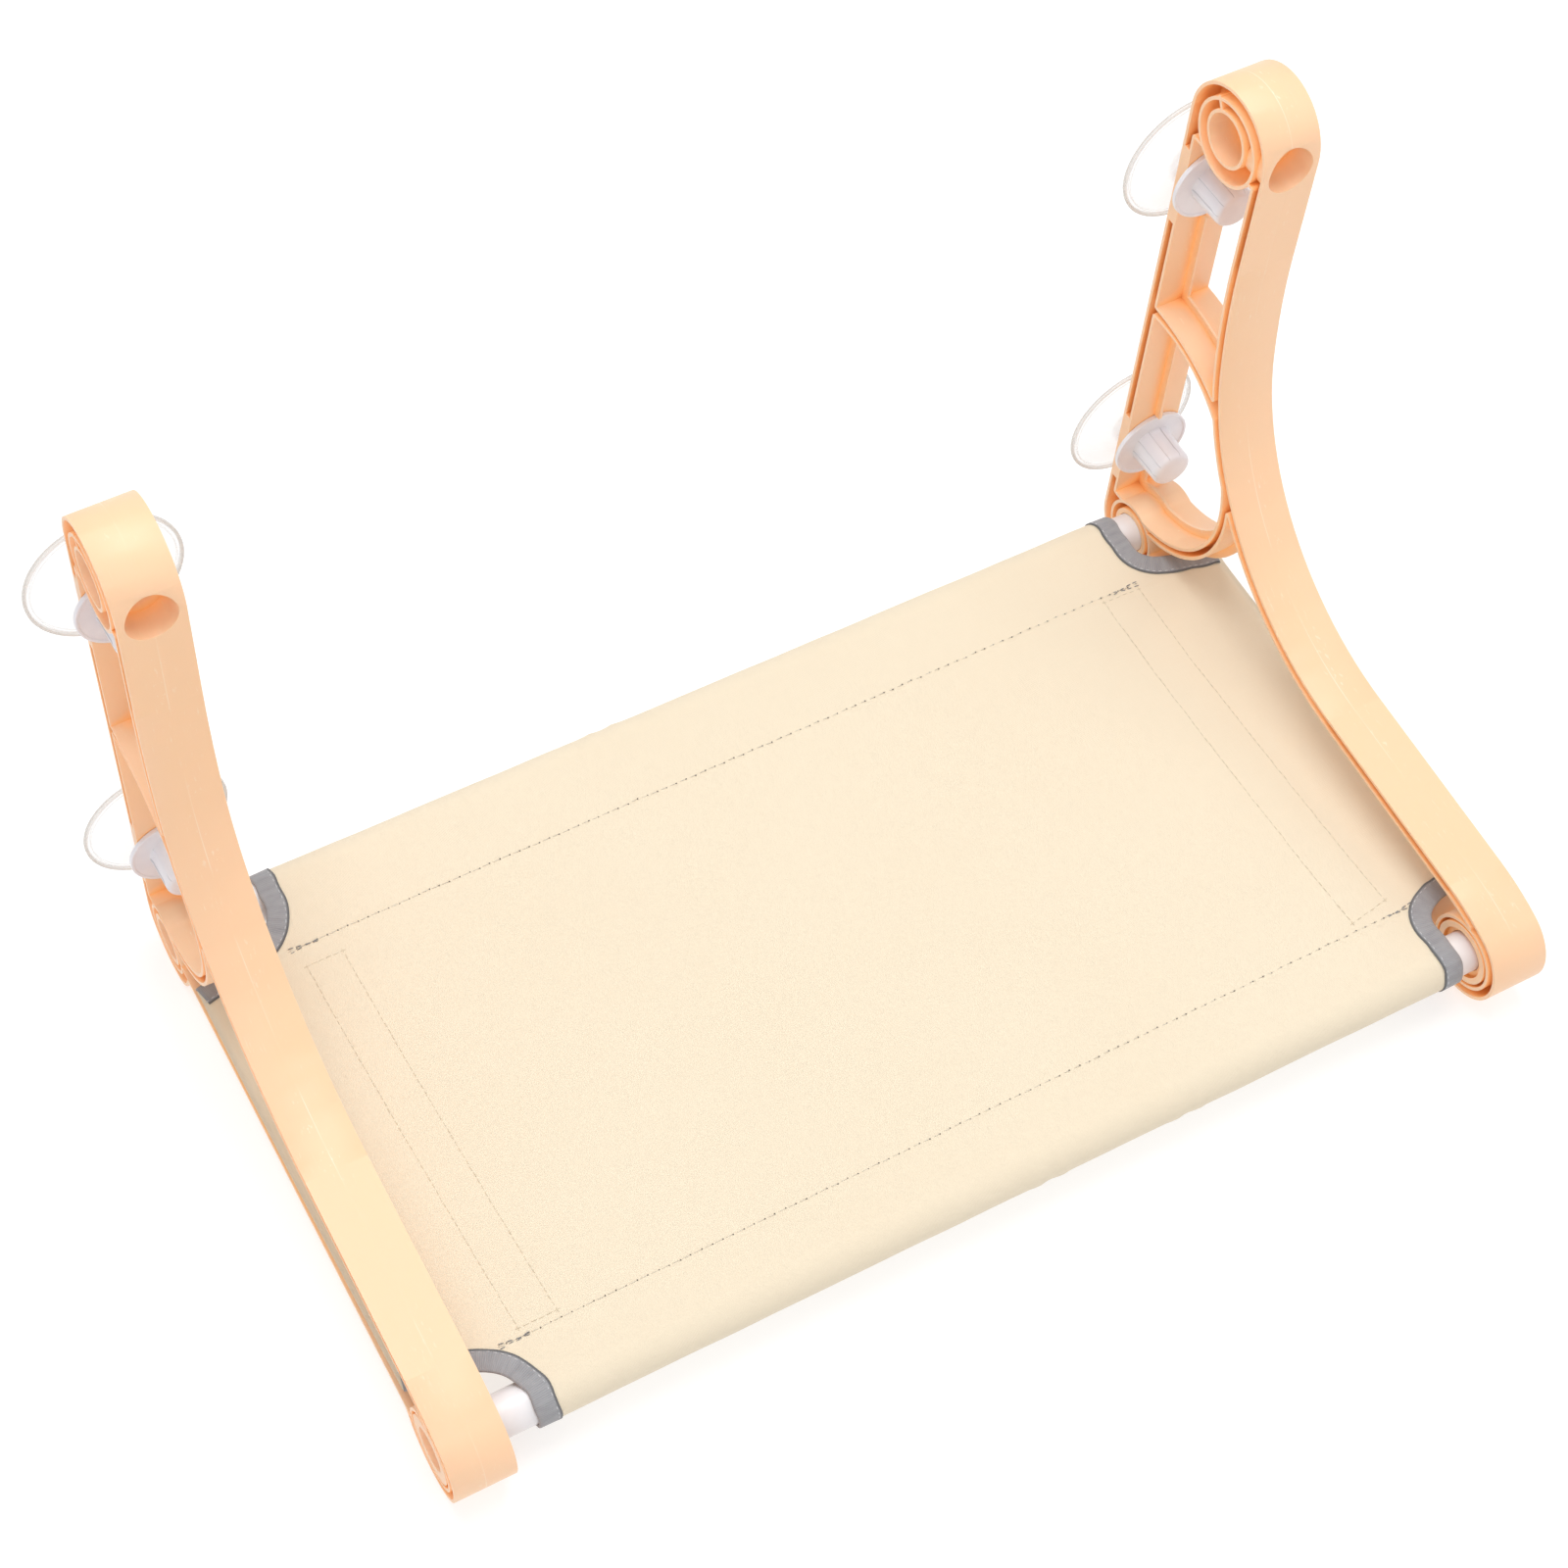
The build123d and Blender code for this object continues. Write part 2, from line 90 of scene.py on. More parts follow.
class Wire:
    """A socket of a node tree that works in plain expressions."""

    def __init__(self, tree, socket=None):
        self.tree = tree
        self.socket = socket

    def node(self, kind, inputs=None, settings=None, out=0):
        """Adds a node of any kind and returns one of its outputs."""
        made = self.tree.nodes.new(kind)
        for name, value in (settings or {}).items():
            setattr(made, name, value)
        for name, value in (inputs or {}).items():
            if isinstance(value, Wire):
                self.tree.links.new(value.socket, made.inputs[name])
            else:
                made.inputs[name].default_value = value
        return Wire(self.tree, made.outputs[out] if len(made.outputs) else None)

    def output(self, name):
        """Another output of the same node."""
        return Wire(self.tree, self.socket.node.outputs[name])

    def math(self, operation, first, second=0.0):
        return self.node("ShaderNodeMath", {0: first, 1: second}, {"operation": operation})

    __add__, __radd__ = operators("ADD")
    __sub__, __rsub__ = operators("SUBTRACT")
    __mul__, __rmul__ = operators("MULTIPLY")
    __truediv__, __rtruediv__ = operators("DIVIDE")

    def __abs__(self):
        return self.math("ABSOLUTE", self)

    def sine(self):
        return self.math("SINE", self)

    def root(self):
        return self.math("SQRT", self)

    def step(self, low, high):
        """A soft step from 0 at low to 1 at high."""
        values = {"Value": self, "From Min": low, "From Max": high}
        return self.node("ShaderNodeMapRange", values, {"interpolation_type": "SMOOTHSTEP"})

    def blend(self, first, second):
        """This wire as the share between two colours."""
        first, second = (c if isinstance(c, Wire) else (*c, 1.0) for c in (first, second))
        values = {0: self, 6: first, 7: second}
        return self.node("ShaderNodeMix", values, {"data_type": "RGBA"}, out=2)

    def split(self):
        """The x, y and z of a vector."""
        parts = self.node("ShaderNodeSeparateXYZ", {0: self})
        return parts, parts.output("Y"), parts.output("Z")

    def join(self, y, z):
        """A vector with this wire as its x."""
        return self.node("ShaderNodeCombineXYZ", {"X": self, "Y": y, "Z": z})

    def stretch(self, shares):
        """A vector with each axis multiplied by its share."""
        values = {0: self, 1: shares}
        return self.node("ShaderNodeVectorMath", values, {"operation": "MULTIPLY"})

    def cloud(self, scale, detail=2.0, roughness=0.5):
        """Soft noise from 0 to 1 over this vector, its grains this many to the metre."""
        values = {"Vector": self, "Scale": scale, "Detail": detail, "Roughness": roughness}
        return self.node("ShaderNodeTexNoise", values)

    def relief(self):
        """The normal of a surface whose height, in metres, is this wire."""
        return self.node("ShaderNodeBump", {"Height": self, "Distance": 1.0, "Strength": 1.0})


def new_finish(name, cloth=False):
    """A new material, and the place that its patterns read: on cloth the flat map, in
    metres, and elsewhere Object coordinates."""
    material = bpy.data.materials.new(name)
    material.use_nodes = True
    material.node_tree.nodes.clear()
    start = Wire(material.node_tree)
    if cloth:
        return material, start.node("ShaderNodeUVMap", settings={"uv_map": "flat"})
    return material, start.node("ShaderNodeTexCoord").output("Object")


def close_finish(material, values):
    """Ends a material in one Principled shader with these values and links."""
    start = Wire(material.node_tree)
    shader = start.node("ShaderNodeBsdfPrincipled", values)
    start.node("ShaderNodeOutputMaterial", {"Surface": shader})
    return material


def paint(material, *pieces):
    """Puts a material on pieces."""
    for piece in pieces:
        piece.data.materials.append(material)
    print(material.name, "has", len(material.node_tree.nodes), "nodes")


print("reflected operators:", [name for name in vars(Wire) if name.startswith("__r")])

# %% [markdown]
# ## Meshes from grids and outlines
#
# Nearly every piece here is a grid of points with its rows or columns closed in a ring: a
# turned piece is an outline repeated round an axis, and cloth is a grid bent to its shape.
# Two helpers cover both. `rounded` gives an outline the small radii that every moulded
# edge has, because a perfectly sharp edge catches no light.
# %% Grid and lathe helpers
merge_distance = MM / 1000


def put(name, data):
    """A new object in the scene."""
    made = bpy.data.objects.new(name, data)
    bpy.context.scene.collection.objects.link(made)
    return made


def grid_piece(name, points, rows, columns, flat_places=None, ring=False, closed=False):
    """A piece from a grid of points. A ring joins the last column to the first, and a
    closed grid joins the last row to the first."""
    faces = []
    for row in range(rows if closed else rows - 1):
        for column in range(columns if ring else columns - 1):
            after = (column + 1) % columns
            here, below = row * columns, (row + 1) % rows * columns
            faces.append((here + column, here + after, below + after, below + column))
    mesh = bpy.data.meshes.new(name)
    mesh.from_pydata([tuple(p) for p in points], [], faces)
    if flat_places is not None:
        layer = mesh.uv_layers.new(name="flat")
        used = [loop.vertex_index for loop in mesh.loops]
        layer.data.foreach_set("uv", np.asarray(flat_places, dtype=np.float32)[used].ravel())
    mesh.shade_smooth()
    return put(name, mesh)


def thicken(piece, thickness):
    """Gives a thin piece its wall, half of it on each side."""
    wall = piece.modifiers.new("wall", "SOLIDIFY")
    wall.thickness = thickness
    wall.offset = 0
    return wall


def bend(start, corner, end, steps):
    """A smooth curve from start to end that heads for a corner, a parabola."""
    shares = np.linspace(0, 1, steps + 1)
    return [(1 - t) ** 2 * start + 2 * t * (1 - t) * corner + t**2 * end for t in shares]


def rounded(corners, steps=4):
    """An outline from corners (radius from the axis, depth, edge radius), its edges rounded."""
    line = []
    for index, (across, along, radius) in enumerate(corners):
        here = np.array([across, along])
        if radius == 0 or index in (0, len(corners) - 1):
            line.append(here)
            continue
        before = np.array(corners[index - 1][:2]) - here
        after = np.array(corners[index + 1][:2]) - here
        spans = np.linalg.norm(before), np.linalg.norm(after)
        reach = min(radius, *(0.49 * span for span in spans))
        start = here + before / spans[0] * reach
        end = here + after / spans[1] * reach
        line += bend(start, here, end, steps)
    return np.array(line)


def tidy_faces(piece):
    """Merges doubled points, such as a pole, and turns every face outwards."""
    work = bmesh.new()
    work.from_mesh(piece.data)
    bmesh.ops.remove_doubles(work, verts=work.verts, dist=merge_distance)
    bmesh.ops.recalc_face_normals(work, faces=work.faces)
    work.to_mesh(piece.data)
    work.free()


def turned(name, outline, centre, turns=96, closed=False, along_x=False, wobble=None):
    """A turned piece. Its outline is (radius, depth), depth runs from the pane to the room,
    or along X. wobble changes the radius by (radius, depth, angle)."""
    points = []
    for across, depth in outline:
        for turn in range(turns):
            angle = 2 * math.pi * turn / turns
            radius = across + (wobble(across, depth, angle) if wobble else 0.0)
            one, two = radius * math.cos(angle), radius * math.sin(angle)
            shift = (depth, one, two) if along_x else (one, -depth, two)
            points.append(np.array(centre) + shift)
    piece = grid_piece(name, points, len(outline), turns, ring=True, closed=closed)
    tidy_faces(piece)
    return piece


print("helpers ready: grid_piece, rounded, turned")

# %% [markdown]
# ## The canvas as one flat strip
#
# The real sling is one piece of canvas, whose two ends fold back under it round the tubes
# and are sewn down in two long seams. So it is made the way it is cut: a place is given
# on the flat strip, as x across and s down its length, and one function bends the strip
# to its real shape. Bindings, stitches and tapes use it too, and so they lie on the cloth.
#
# The section is drawn first: a hem under the sheet, a straight stretch, the turn round
# the rear tube, the slack sheet, and the same again at the front.
# %% Section of the canvas
canvas_thickness = 0.9 * MM
roll_gap = 0.5 * MM
sheet_slack = 7.0 * MM
hem_length = 8.0 * MM
rear_seam_y = -71.0 * MM
front_seam_gap = 26.0 * MM
layer_share = 1.05
fine = 0.25 * MM


def run_length(line):
    """The length of a line of points up to each of them."""
    return np.append(0.0, np.cumsum(np.linalg.norm(np.diff(line, axis=0), axis=1)))


def headings(line, *lengths):
    """The unit direction of a line at each of its points."""
    run = np.gradient(line, *lengths, axis=0)
    return run / np.linalg.norm(run, axis=1)[:, None]


def tube_axis(node):
    """The middle of a tube in the section, and its radius."""
    low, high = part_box(node)
    return np.array([(low.y + high.y) / 2, (low.z + high.z) / 2]), (high.z - low.z) / 2


rear_axis, tube_radius = tube_axis("rear_tube")
front_axis, _ = tube_axis("front_tube")
roll_radius = tube_radius + roll_gap + canvas_thickness / 2
front_seam_y = front_axis[0] + front_seam_gap
sheet_run = rear_axis[0] - front_axis[0]
sheet_rise = front_axis[1] - rear_axis[1]
rear_dip = math.atan((4 * sheet_slack - sheet_rise) / sheet_run)
front_dip = math.atan((4 * sheet_slack + sheet_rise) / sheet_run)


def on_roll(centre, angle):
    """The place of the cloth at an angle round a tube."""
    return centre + roll_radius * np.array([math.cos(angle), math.sin(angle)])


def arc(centre, start, end):
    """Points round a tube, from one angle to another."""
    count = int(abs(end - start) * roll_radius / fine) + 2
    return [on_roll(centre, angle) for angle in np.linspace(start, end, count)]


def straight(start, end):
    """Points on a line, without its last one."""
    count = int(np.linalg.norm(end - start) / fine) + 2
    return [start + (end - start) * share for share in np.linspace(0, 1, count)[:-1]]


def sheet_middle(y):
    """Height of the sheet's middle layer at a place between the tubes."""
    share = (rear_axis[0] - y) / sheet_run
    level = rear_axis[1] + share * sheet_rise + roll_radius
    return level - 4 * sheet_slack * share * (1 - share)


def under(y):
    """A place on the hem, one layer under the sheet."""
    return np.array([y, sheet_middle(y) - layer_share * canvas_thickness])


def lower_touch(centre, seam, turn):
    """The angle at which a line from a seam meets the underside of a tube."""
    gap = seam - centre
    angle = math.atan2(gap[1], gap[0])
    return angle + turn * math.acos(roll_radius / np.linalg.norm(gap))


rear_hem, front_hem = under(rear_seam_y), under(front_seam_y)
rear_touch = lower_touch(rear_axis, rear_hem, 1)
front_touch = lower_touch(front_axis, front_hem, -1) + 2 * math.pi
sheet_start = math.pi / 2 + rear_dip
sheet_end = math.pi / 2 - front_dip
section = straight(under(rear_seam_y - hem_length), rear_hem)
section += straight(rear_hem, on_roll(rear_axis, rear_touch))
section += arc(rear_axis, rear_touch, sheet_start + 2 * math.pi)
first_y = section[-1][0]
last_y = on_roll(front_axis, sheet_end)[0]
sheet_places = np.arange(first_y - fine, last_y + fine / 2, -fine)
section += [np.array([y, sheet_middle(y)]) for y in sheet_places]
section += arc(front_axis, sheet_end, front_touch)
section += straight(section[-1], front_hem)
section += straight(front_hem, under(front_seam_y + hem_length))
section = np.array(section)
gaps = np.linalg.norm(np.diff(section, axis=0), axis=1)
section = section[np.append(True, gaps > MM / 100)]
along = run_length(section)
strip_length = along[-1]
heading = headings(section, along)
print("length of the strip of canvas in mm:", round(strip_length / MM, 1))

# %% [markdown]
# The seams are where the sheet passes over the ends of its own hems. The strip's places
# `s` for them, and for the tops of the two rolls, are read back from the section.
# %% Places down the strip


def where_top(y):
    """The strip's s where its upper layer passes a place y at the end of a roll."""
    away = np.linalg.norm(section - np.array([y, sheet_middle(y)]), axis=1)
    return along[np.argmin(away)]


rear_roll_end = where_top(first_y)
front_roll_start = where_top(last_y)
sheet_share = (front_roll_start - rear_roll_end) / (first_y - last_y)


def down(y):
    """The strip's s for a place y on the sheet."""
    return rear_roll_end + (first_y - y) * sheet_share


rear_seam_s = down(rear_seam_y)
front_seam_s = down(front_seam_y)
print("seams at s =", round(rear_seam_s / MM, 1), "and", round(front_seam_s / MM, 1))

# %% [markdown]
# Cloth is never flat. The sheet has slow waves between the tubes, its free sides droop,
# the seams pucker, and the rolls have a few dents where the canvas was folded in its
# box. Waves, puckers and puffs are small sums of sine waves, whose lengths, ways and
# phases are drawn with a fixed seed, so that every run is the same.
# %% Bending the strip
sling_half = 277.5 * MM
wave_seed = 7
chance = np.random.default_rng(wave_seed)


def waves(count, short, long):
    """A list of sine waves: their two wave numbers and a phase."""
    lengths = chance.uniform(short, long, count)
    angles = chance.uniform(0, math.pi, count)
    phases = chance.uniform(0, 2 * math.pi, count)
    numbers = 2 * math.pi / lengths
    return numbers * np.cos(angles), numbers * np.sin(angles), phases


def sum_of(wave_list, x, y):
    """The waves added up at places x, y, from about -1 to 1."""
    total = np.zeros(np.broadcast(x, y).shape)
    for wave_x, wave_y, phase in zip(*wave_list):
        total = total + np.sin(wave_x * x + wave_y * y + phase)
    return total / math.sqrt(len(wave_list[0]))


slow_waves = waves(6, 110 * MM, 260 * MM)
soft_waves = waves(8, 35 * MM, 80 * MM)
pucker_waves = waves(7, 6 * MM, 16 * MM)
slow_height, slow_reach = 0.55 * MM, 45.0 * MM
soft_height, soft_reach = 0.14 * MM, 14.0 * MM
droop_height, droop_start = 1.6 * MM, 190.0 * MM
pucker_height, pucker_reach = 0.16 * MM, 7.0 * MM
pucker_stretch = 0.35
groove_depth, groove_reach = 0.28 * MM, 1.3 * MM
roll_puff = 0.22 * MM
dents = [(-48 * MM, "rear"), (20 * MM, "front"), (92 * MM, "front")]
dent_depth, dent_width = 0.5 * MM, 3.0 * MM
hem_reach = 32.0 * MM


def bump_at(distance, reach):
    """A smooth bump of height 1."""
    return np.exp(-((distance / reach) ** 2))


def smooth(value):
    """A soft step from 0 to 1."""
    value = np.clip(value, 0, 1)
    return value * value * (3 - 2 * value)


def sheet_share_at(s, reach):
    """0 on the rolls and 1 on the free sheet, with a soft step this long between them."""
    return smooth((s - rear_roll_end) / reach) * smooth((front_roll_start - s) / reach)


def softness(x, s):
    """How far the cloth lies over its plain section at places on the flat strip."""
    free = sheet_share_at(s, slow_reach)
    lift = free * slow_height * sum_of(slow_waves, x, s)
    lift = lift + sheet_share_at(s, soft_reach) * soft_height * sum_of(soft_waves, x, s)
    side = np.clip((np.abs(x) - droop_start) / (sling_half - droop_start), 0, 1)
    lift = lift - free * droop_height * side**2
    for seam in (rear_seam_s, front_seam_s):
        near = bump_at(s - seam, pucker_reach)
        lift = lift + near * pucker_height * sum_of(pucker_waves, x, pucker_stretch * s)
        lift = lift - bump_at(s - seam, groove_reach) * groove_depth
    return lift


def roll_softness(x, s):
    """Puffs and dents of the two rolls, outwards from the tubes."""
    rolled = 1 - sheet_share_at(s, soft_reach)
    puff = roll_puff * (0.5 + 0.5 * sum_of(soft_waves, x, 2 * s))
    for middle, row in dents:
        here = (s < strip_length / 2) if row == "rear" else (s > strip_length / 2)
        fold = bump_at(x - middle, dent_width)
        shoulder = bump_at(np.abs(x - middle) - 2 * dent_width, dent_width)
        puff = puff + here * dent_depth * (shoulder - 0.5 * fold)
    return rolled * np.clip(puff, 0, None)


def place(x, s, lift=0.0):
    """The real place of a point on the flat strip, lifted off its outer face."""
    x, s, lift = np.broadcast_arrays(*(np.asarray(value, float) for value in (x, s, lift)))
    y, z = (np.interp(s, along, section[:, axis]) for axis in (0, 1))
    heading_y, heading_z = (np.interp(s, along, heading[:, axis]) for axis in (0, 1))
    proud = lift + roll_softness(x, s)
    # The hems lie close under the sheet, and so they follow the sheet over them
    over = np.where(s < hem_reach, rear_seam_s + hem_length - s, s)
    from_end = strip_length - s
    over = np.where(from_end < hem_reach, front_seam_s - hem_length + from_end, over)
    sag = softness(x, np.clip(over, rear_roll_end, front_roll_start))
    return np.stack([x, y + heading_z * proud, z - heading_y * proud + sag], axis=-1)


print("the sheet's middle lies at z =", round(float(place(0.0, strip_length / 2)[2]), 4))

# %% [markdown]
# ## Notches and the sling itself
#
# Each corner of the canvas is notched, so that the tube shows between the cloth and the
# bracket. Seen from above, a notch runs beside the socket, turns in a wide round corner
# and slants out to the free side. The four were cut by hand and differ a little. The hems
# under the rolls are cut narrower than the sheet, so they don't show in the notches.
# %% Outlines of the notches
# Each notch: its corner across and away from the tube's axis, its end, and its radius
notch_sizes = {
    ("left", "rear"): (231.5 * MM, 24.5 * MM, 35.5 * MM, 22.0 * MM),
    ("left", "front"): (231.5 * MM, 18.3 * MM, 26.5 * MM, 30.0 * MM),
    ("right", "rear"): (238.5 * MM, 24.5 * MM, 32.0 * MM, 15.0 * MM),
    ("right", "front"): (240.5 * MM, 21.8 * MM, 32.5 * MM, 13.0 * MM),
}
tube_side = {"rear": (rear_axis[0], 1), "front": (front_axis[0], -1)}
past_roll = 100.0 * MM
corner_steps = 12


def notch_outline(side_name, row):
    """The edge of a notch in plan, as (half width, y), from the tube to the free side."""
    across, near, far, radius = notch_sizes[side_name, row]
    axis_y, way = tube_side[row]
    corner = np.array([across, axis_y - way * near])
    end = np.array([sling_half, axis_y - way * far])
    slant = (end - corner) / np.linalg.norm(end - corner)
    reach = radius * math.tan(math.acos(-slant[1] * way) / 2)
    start = corner + np.array([0, way * reach])
    curve = bend(start, corner, corner + slant * reach, corner_steps)
    line = np.array([corner + np.array([0, way * past_roll])] + curve + [end])
    return line[np.argsort(line[:, 1])]


notch_edges = {corner: notch_outline(*corner) for corner in notch_sizes}
print("notches:", len(notch_edges))

# %% Half width of the cloth
hem_inset = 10.0 * MM
hem_ease = 12.0 * MM
rear_half = along < strip_length / 2
rear_low_s = along[np.argmin(np.where(rear_half, section[:, 1], 1.0))]
front_low_s = along[np.argmin(np.where(rear_half, 1.0, section[:, 1]))]


def half_width(s, side_name):
    """The width of the canvas from its middle to one side, at a place down the strip."""
    y = np.interp(s, along, section[:, 0])
    edges = [notch_edges[side_name, row].T for row in tube_side]
    width = np.minimum(*(np.interp(y, edge_y, edge_x) for edge_x, edge_y in edges))
    rear, front = (np.clip(past / hem_ease, 0, 1) for past in (rear_low_s - s, s - front_low_s))
    return width - hem_inset * (rear + front)


seam_zone = 4.0 * MM
roll_step, margin_step, seam_step, sheet_step = 1.5 * MM, 1.6 * MM, 0.8 * MM, 3.6 * MM
row_steps = [
    (rear_roll_end, roll_step),
    (rear_seam_s - seam_zone, margin_step),
    (rear_seam_s + seam_zone, seam_step),
    (front_seam_s - seam_zone, sheet_step),
    (front_seam_s + seam_zone, seam_step),
    (front_roll_start, margin_step),
    (strip_length, roll_step),
]
rows = [0.0]
for end, step in row_steps:
    count = max(1, round((end - rows[-1]) / step))
    rows.extend(np.linspace(rows[-1], end, count + 1)[1:])
rows = np.array(rows)
inner_half = 216.0 * MM
inner_count, outer_count = 145, 15
inner_columns = np.linspace(-inner_half, inner_half, inner_count)
outer_shares = np.linspace(0, 1, outer_count)[1:]
print("rows down the strip:", len(rows))

# %% Making the sling
left_widths = half_width(rows, "left")
right_widths = half_width(rows, "right")
strip_points = []
strip_flat = []
for s, left, right in zip(rows, left_widths, right_widths):
    outer = [inner_half + (half - inner_half) * outer_shares for half in (left, right)]
    x = np.concatenate([-outer[0][::-1], inner_columns, outer[1]])
    strip_points.append(place(x, s))
    strip_flat.append(np.stack([x, np.full_like(x, s)], axis=-1))
columns = len(strip_points[0])
canvas = grid_piece(
    "canvas_sling", np.concatenate(strip_points), len(rows), columns, np.concatenate(strip_flat)
)
thicken(canvas, canvas_thickness).use_even_offset = True
widths = left_widths + right_widths
flat_area = float(np.sum((widths[1:] + widths[:-1]) / 2 * np.diff(rows)))
print("canvas:", len(canvas.data.vertices), "points, flat area in m2:", round(flat_area, 4))

# %% [markdown]
# Plain-woven canvas is two sets of threads that pass over and under each other. The UV
# map holds the flat strip in metres, so the weave runs straight with the cloth round
# both rolls. A pair of sine waves gives the threads, a checker of their signs says which
# is on top, and stretched noise makes some threads thicker, as in real cotton.
# %% Canvas finish
cream = (0.83, 0.725, 0.56)
cream_deep = (0.785, 0.65, 0.47)
yarn_pitch, yarn_depth, fuzz_height = 0.62 * MM, 0.11 * MM, 0.02 * MM


def weave_height(flat, pitch, depth):
    """The height of a plain weave over a flat map in metres."""
    x, y, _ = flat.split()
    one, two = ((axis * (math.pi / pitch)).sine() for axis in (x, y))
    over = (one * two).step(-0.25, 0.25)
    warp = abs(one) * (0.55 + 0.45 * abs(two))
    weft = abs(two) * (0.55 + 0.45 * abs(one))
    woven = over * warp + (1 - over) * weft
    slub = flat.stretch((1.0, 14.0, 1.0)).cloud(110.0, 1.0)
    slub = slub + flat.stretch((14.0, 1.0, 1.0)).cloud(110.0, 1.0)
    return woven * (0.35 + 0.65 * slub) * depth, woven, slub


def canvas_finish():
    material, flat = new_finish("cream_canvas", cloth=True)
    height, woven, slub = weave_height(flat, yarn_pitch, yarn_depth)
    cloudy = flat.cloud(9.0, 3.0)
    # Partly painted shade: the woven term darkens the colour between the threads; slub and cloudy
    # are the yarn's own tone
    shade = (0.62 + 0.16 * woven + 0.16 * slub + 0.25 * cloudy).step(0.45, 1.15)
    fuzz = flat.cloud(2600.0) * fuzz_height
    return close_finish(material, {
        "Base Color": shade.blend(cream_deep, cream),
        "Roughness": 0.86 + 0.1 * woven,
        "Normal": (height + fuzz).relief(),
        "Sheen Weight": 0.12,
        "Sheen Roughness": 0.6,
        "Specular IOR Level": 0.2,
    })


paint(canvas_finish(), canvas)

# %% [markdown]
# ## Binding tape
#
# A raw notch would fray, so a grey ribbed tape is folded over its edge and sewn through.
# The edge is followed on the flat strip: along the slant, over the roll and back on the
# layer below. The tape's section is a thin U that holds the canvas between its legs.
# %% Edge of a notch on the flat strip
tape_lap = 9.5 * MM
tape_fold = 0.9 * MM
tape_thickness = 0.45 * MM
tape_air = 0.05 * MM
tape_rest = canvas_thickness / 2 + tape_air + tape_thickness / 2
tape_step, edge_step = 1.6 * MM, 0.2 * MM
rows_fine = np.arange(0, strip_length, edge_step)
sides = {"left": -1, "right": 1}


def notch_line(side_name, row):
    """The cloth's edge round one notch, in even steps: its places (x, s), the length up to
    each of them, and there the unit direction into the cloth."""
    y = np.interp(rows_fine, along, section[:, 0])
    axis_y, way = tube_side[row]
    s = rows_fine[way * (y - axis_y) > -notch_sizes[side_name, row][2]]
    edge = np.stack([sides[side_name] * half_width(s, side_name), s], axis=-1)
    length = run_length(edge)
    even = np.linspace(0, length[-1], int(length[-1] / tape_step) + 1)
    line = np.stack([np.interp(even, length, edge[:, axis]) for axis in (0, 1)], axis=-1)
    run = headings(line)
    into = np.stack([-run[:, 1], run[:, 0]], axis=-1)
    return line, even, -into * np.sign(into[len(into) // 2, 0] * sides[side_name])


print("rear notch edge in mm:", round(notch_line("right", "rear")[1][-1] / MM, 1))

# %% Making the four bindings
tape_leg = [(share * tape_lap, tape_rest) for share in (1, 0.75, 0.5, 0.25, 0)]
tape_leg.append((-0.7 * tape_fold, 0.72 * tape_rest))
tape_section = tape_leg + [(-tape_fold, 0.0)] + [(inset, -lift) for inset, lift in tape_leg[::-1]]
tape_waves = waves(4, 9 * MM, 24 * MM)
tape_ripple = 0.22 * MM


def make_binding(side_name, row):
    """One folded tape round one notch, with its flat map along and across the tape."""
    line, length, into = notch_line(side_name, row)
    ripple = tape_ripple * sum_of(tape_waves, length, 0.0)
    points = []
    flat = []
    for (inset, lift), across in zip(tape_section, run_length(tape_section)):
        loose = ripple * inset / tape_lap * np.sign(lift)
        spot = line + into * (inset + ripple[:, None])
        points.append(place(spot[:, 0], spot[:, 1], lift + np.abs(loose) * np.sign(lift)))
        flat.append(np.stack([length, np.full_like(length, across)], axis=-1))
    grid = np.concatenate(points), len(tape_section), len(line), np.concatenate(flat)
    piece = grid_piece(f"{side_name}_{row}_binding_tape", *grid)
    thicken(piece, tape_thickness)
    return piece


bindings = {
    f"{side_name}_{row}_binding": make_binding(side_name, row) for side_name, row in notch_sizes
}
print("bindings:", sorted(bindings))

# %% [markdown]
# The tape is woven with ribs across it. They are sine waves along the tape's own map,
# with a fine thread noise. Its selvedge, outside the stitches, is darker, and where the
# tape turns a tight corner it gathers in slanting creases. The colour is painted darker
# in the hollows of the creases and between the ribs, as painted shade; the grain and the
# worn patches are the tape's own tone.
# %% Binding finish
tape_grey = (0.35, 0.35, 0.365)
tape_dark = (0.235, 0.235, 0.25)
selvedge_grey = (0.15, 0.148, 0.15)
selvedge_width = 1.1 * MM
rib_pitch = 0.8 * MM
rib_height, rib_grain, crease_height = 0.1 * MM, 0.05 * MM, 0.5 * MM


def binding_finish():
    material, flat = new_finish("grey_binding_tape", cloth=True)
    lengthwise, across, _ = flat.split()
    rib = abs((lengthwise * (math.pi / rib_pitch)).sine())
    grain = flat.stretch((1.0, 5.0, 1.0)).cloud(900.0)
    worn = flat.cloud(60.0)
    crease = flat.stretch((1.0, 0.25, 1.0)).cloud(420.0)
    # Partly painted shade: ribs and creases are darker in their hollows; grain and worn are the
    # tape's own tone
    shade = (0.2 * rib + 0.25 * grain + 0.3 * worn + 0.65 * crease).step(0.25, 0.95)
    selvedge = 1 - across.step(0.6 * selvedge_width, 1.2 * selvedge_width)
    height = rib * rib_height + grain * rib_grain + crease * crease_height
    return close_finish(material, {
        "Base Color": selvedge.blend(shade.blend(tape_dark, tape_grey), selvedge_grey),
        "Roughness": 0.62 + 0.2 * grain,
        "Normal": height.relief(),
        "Sheen Weight": 0.2,
        "Specular IOR Level": 0.3,
    })


paint(binding_finish(), *bindings.values())

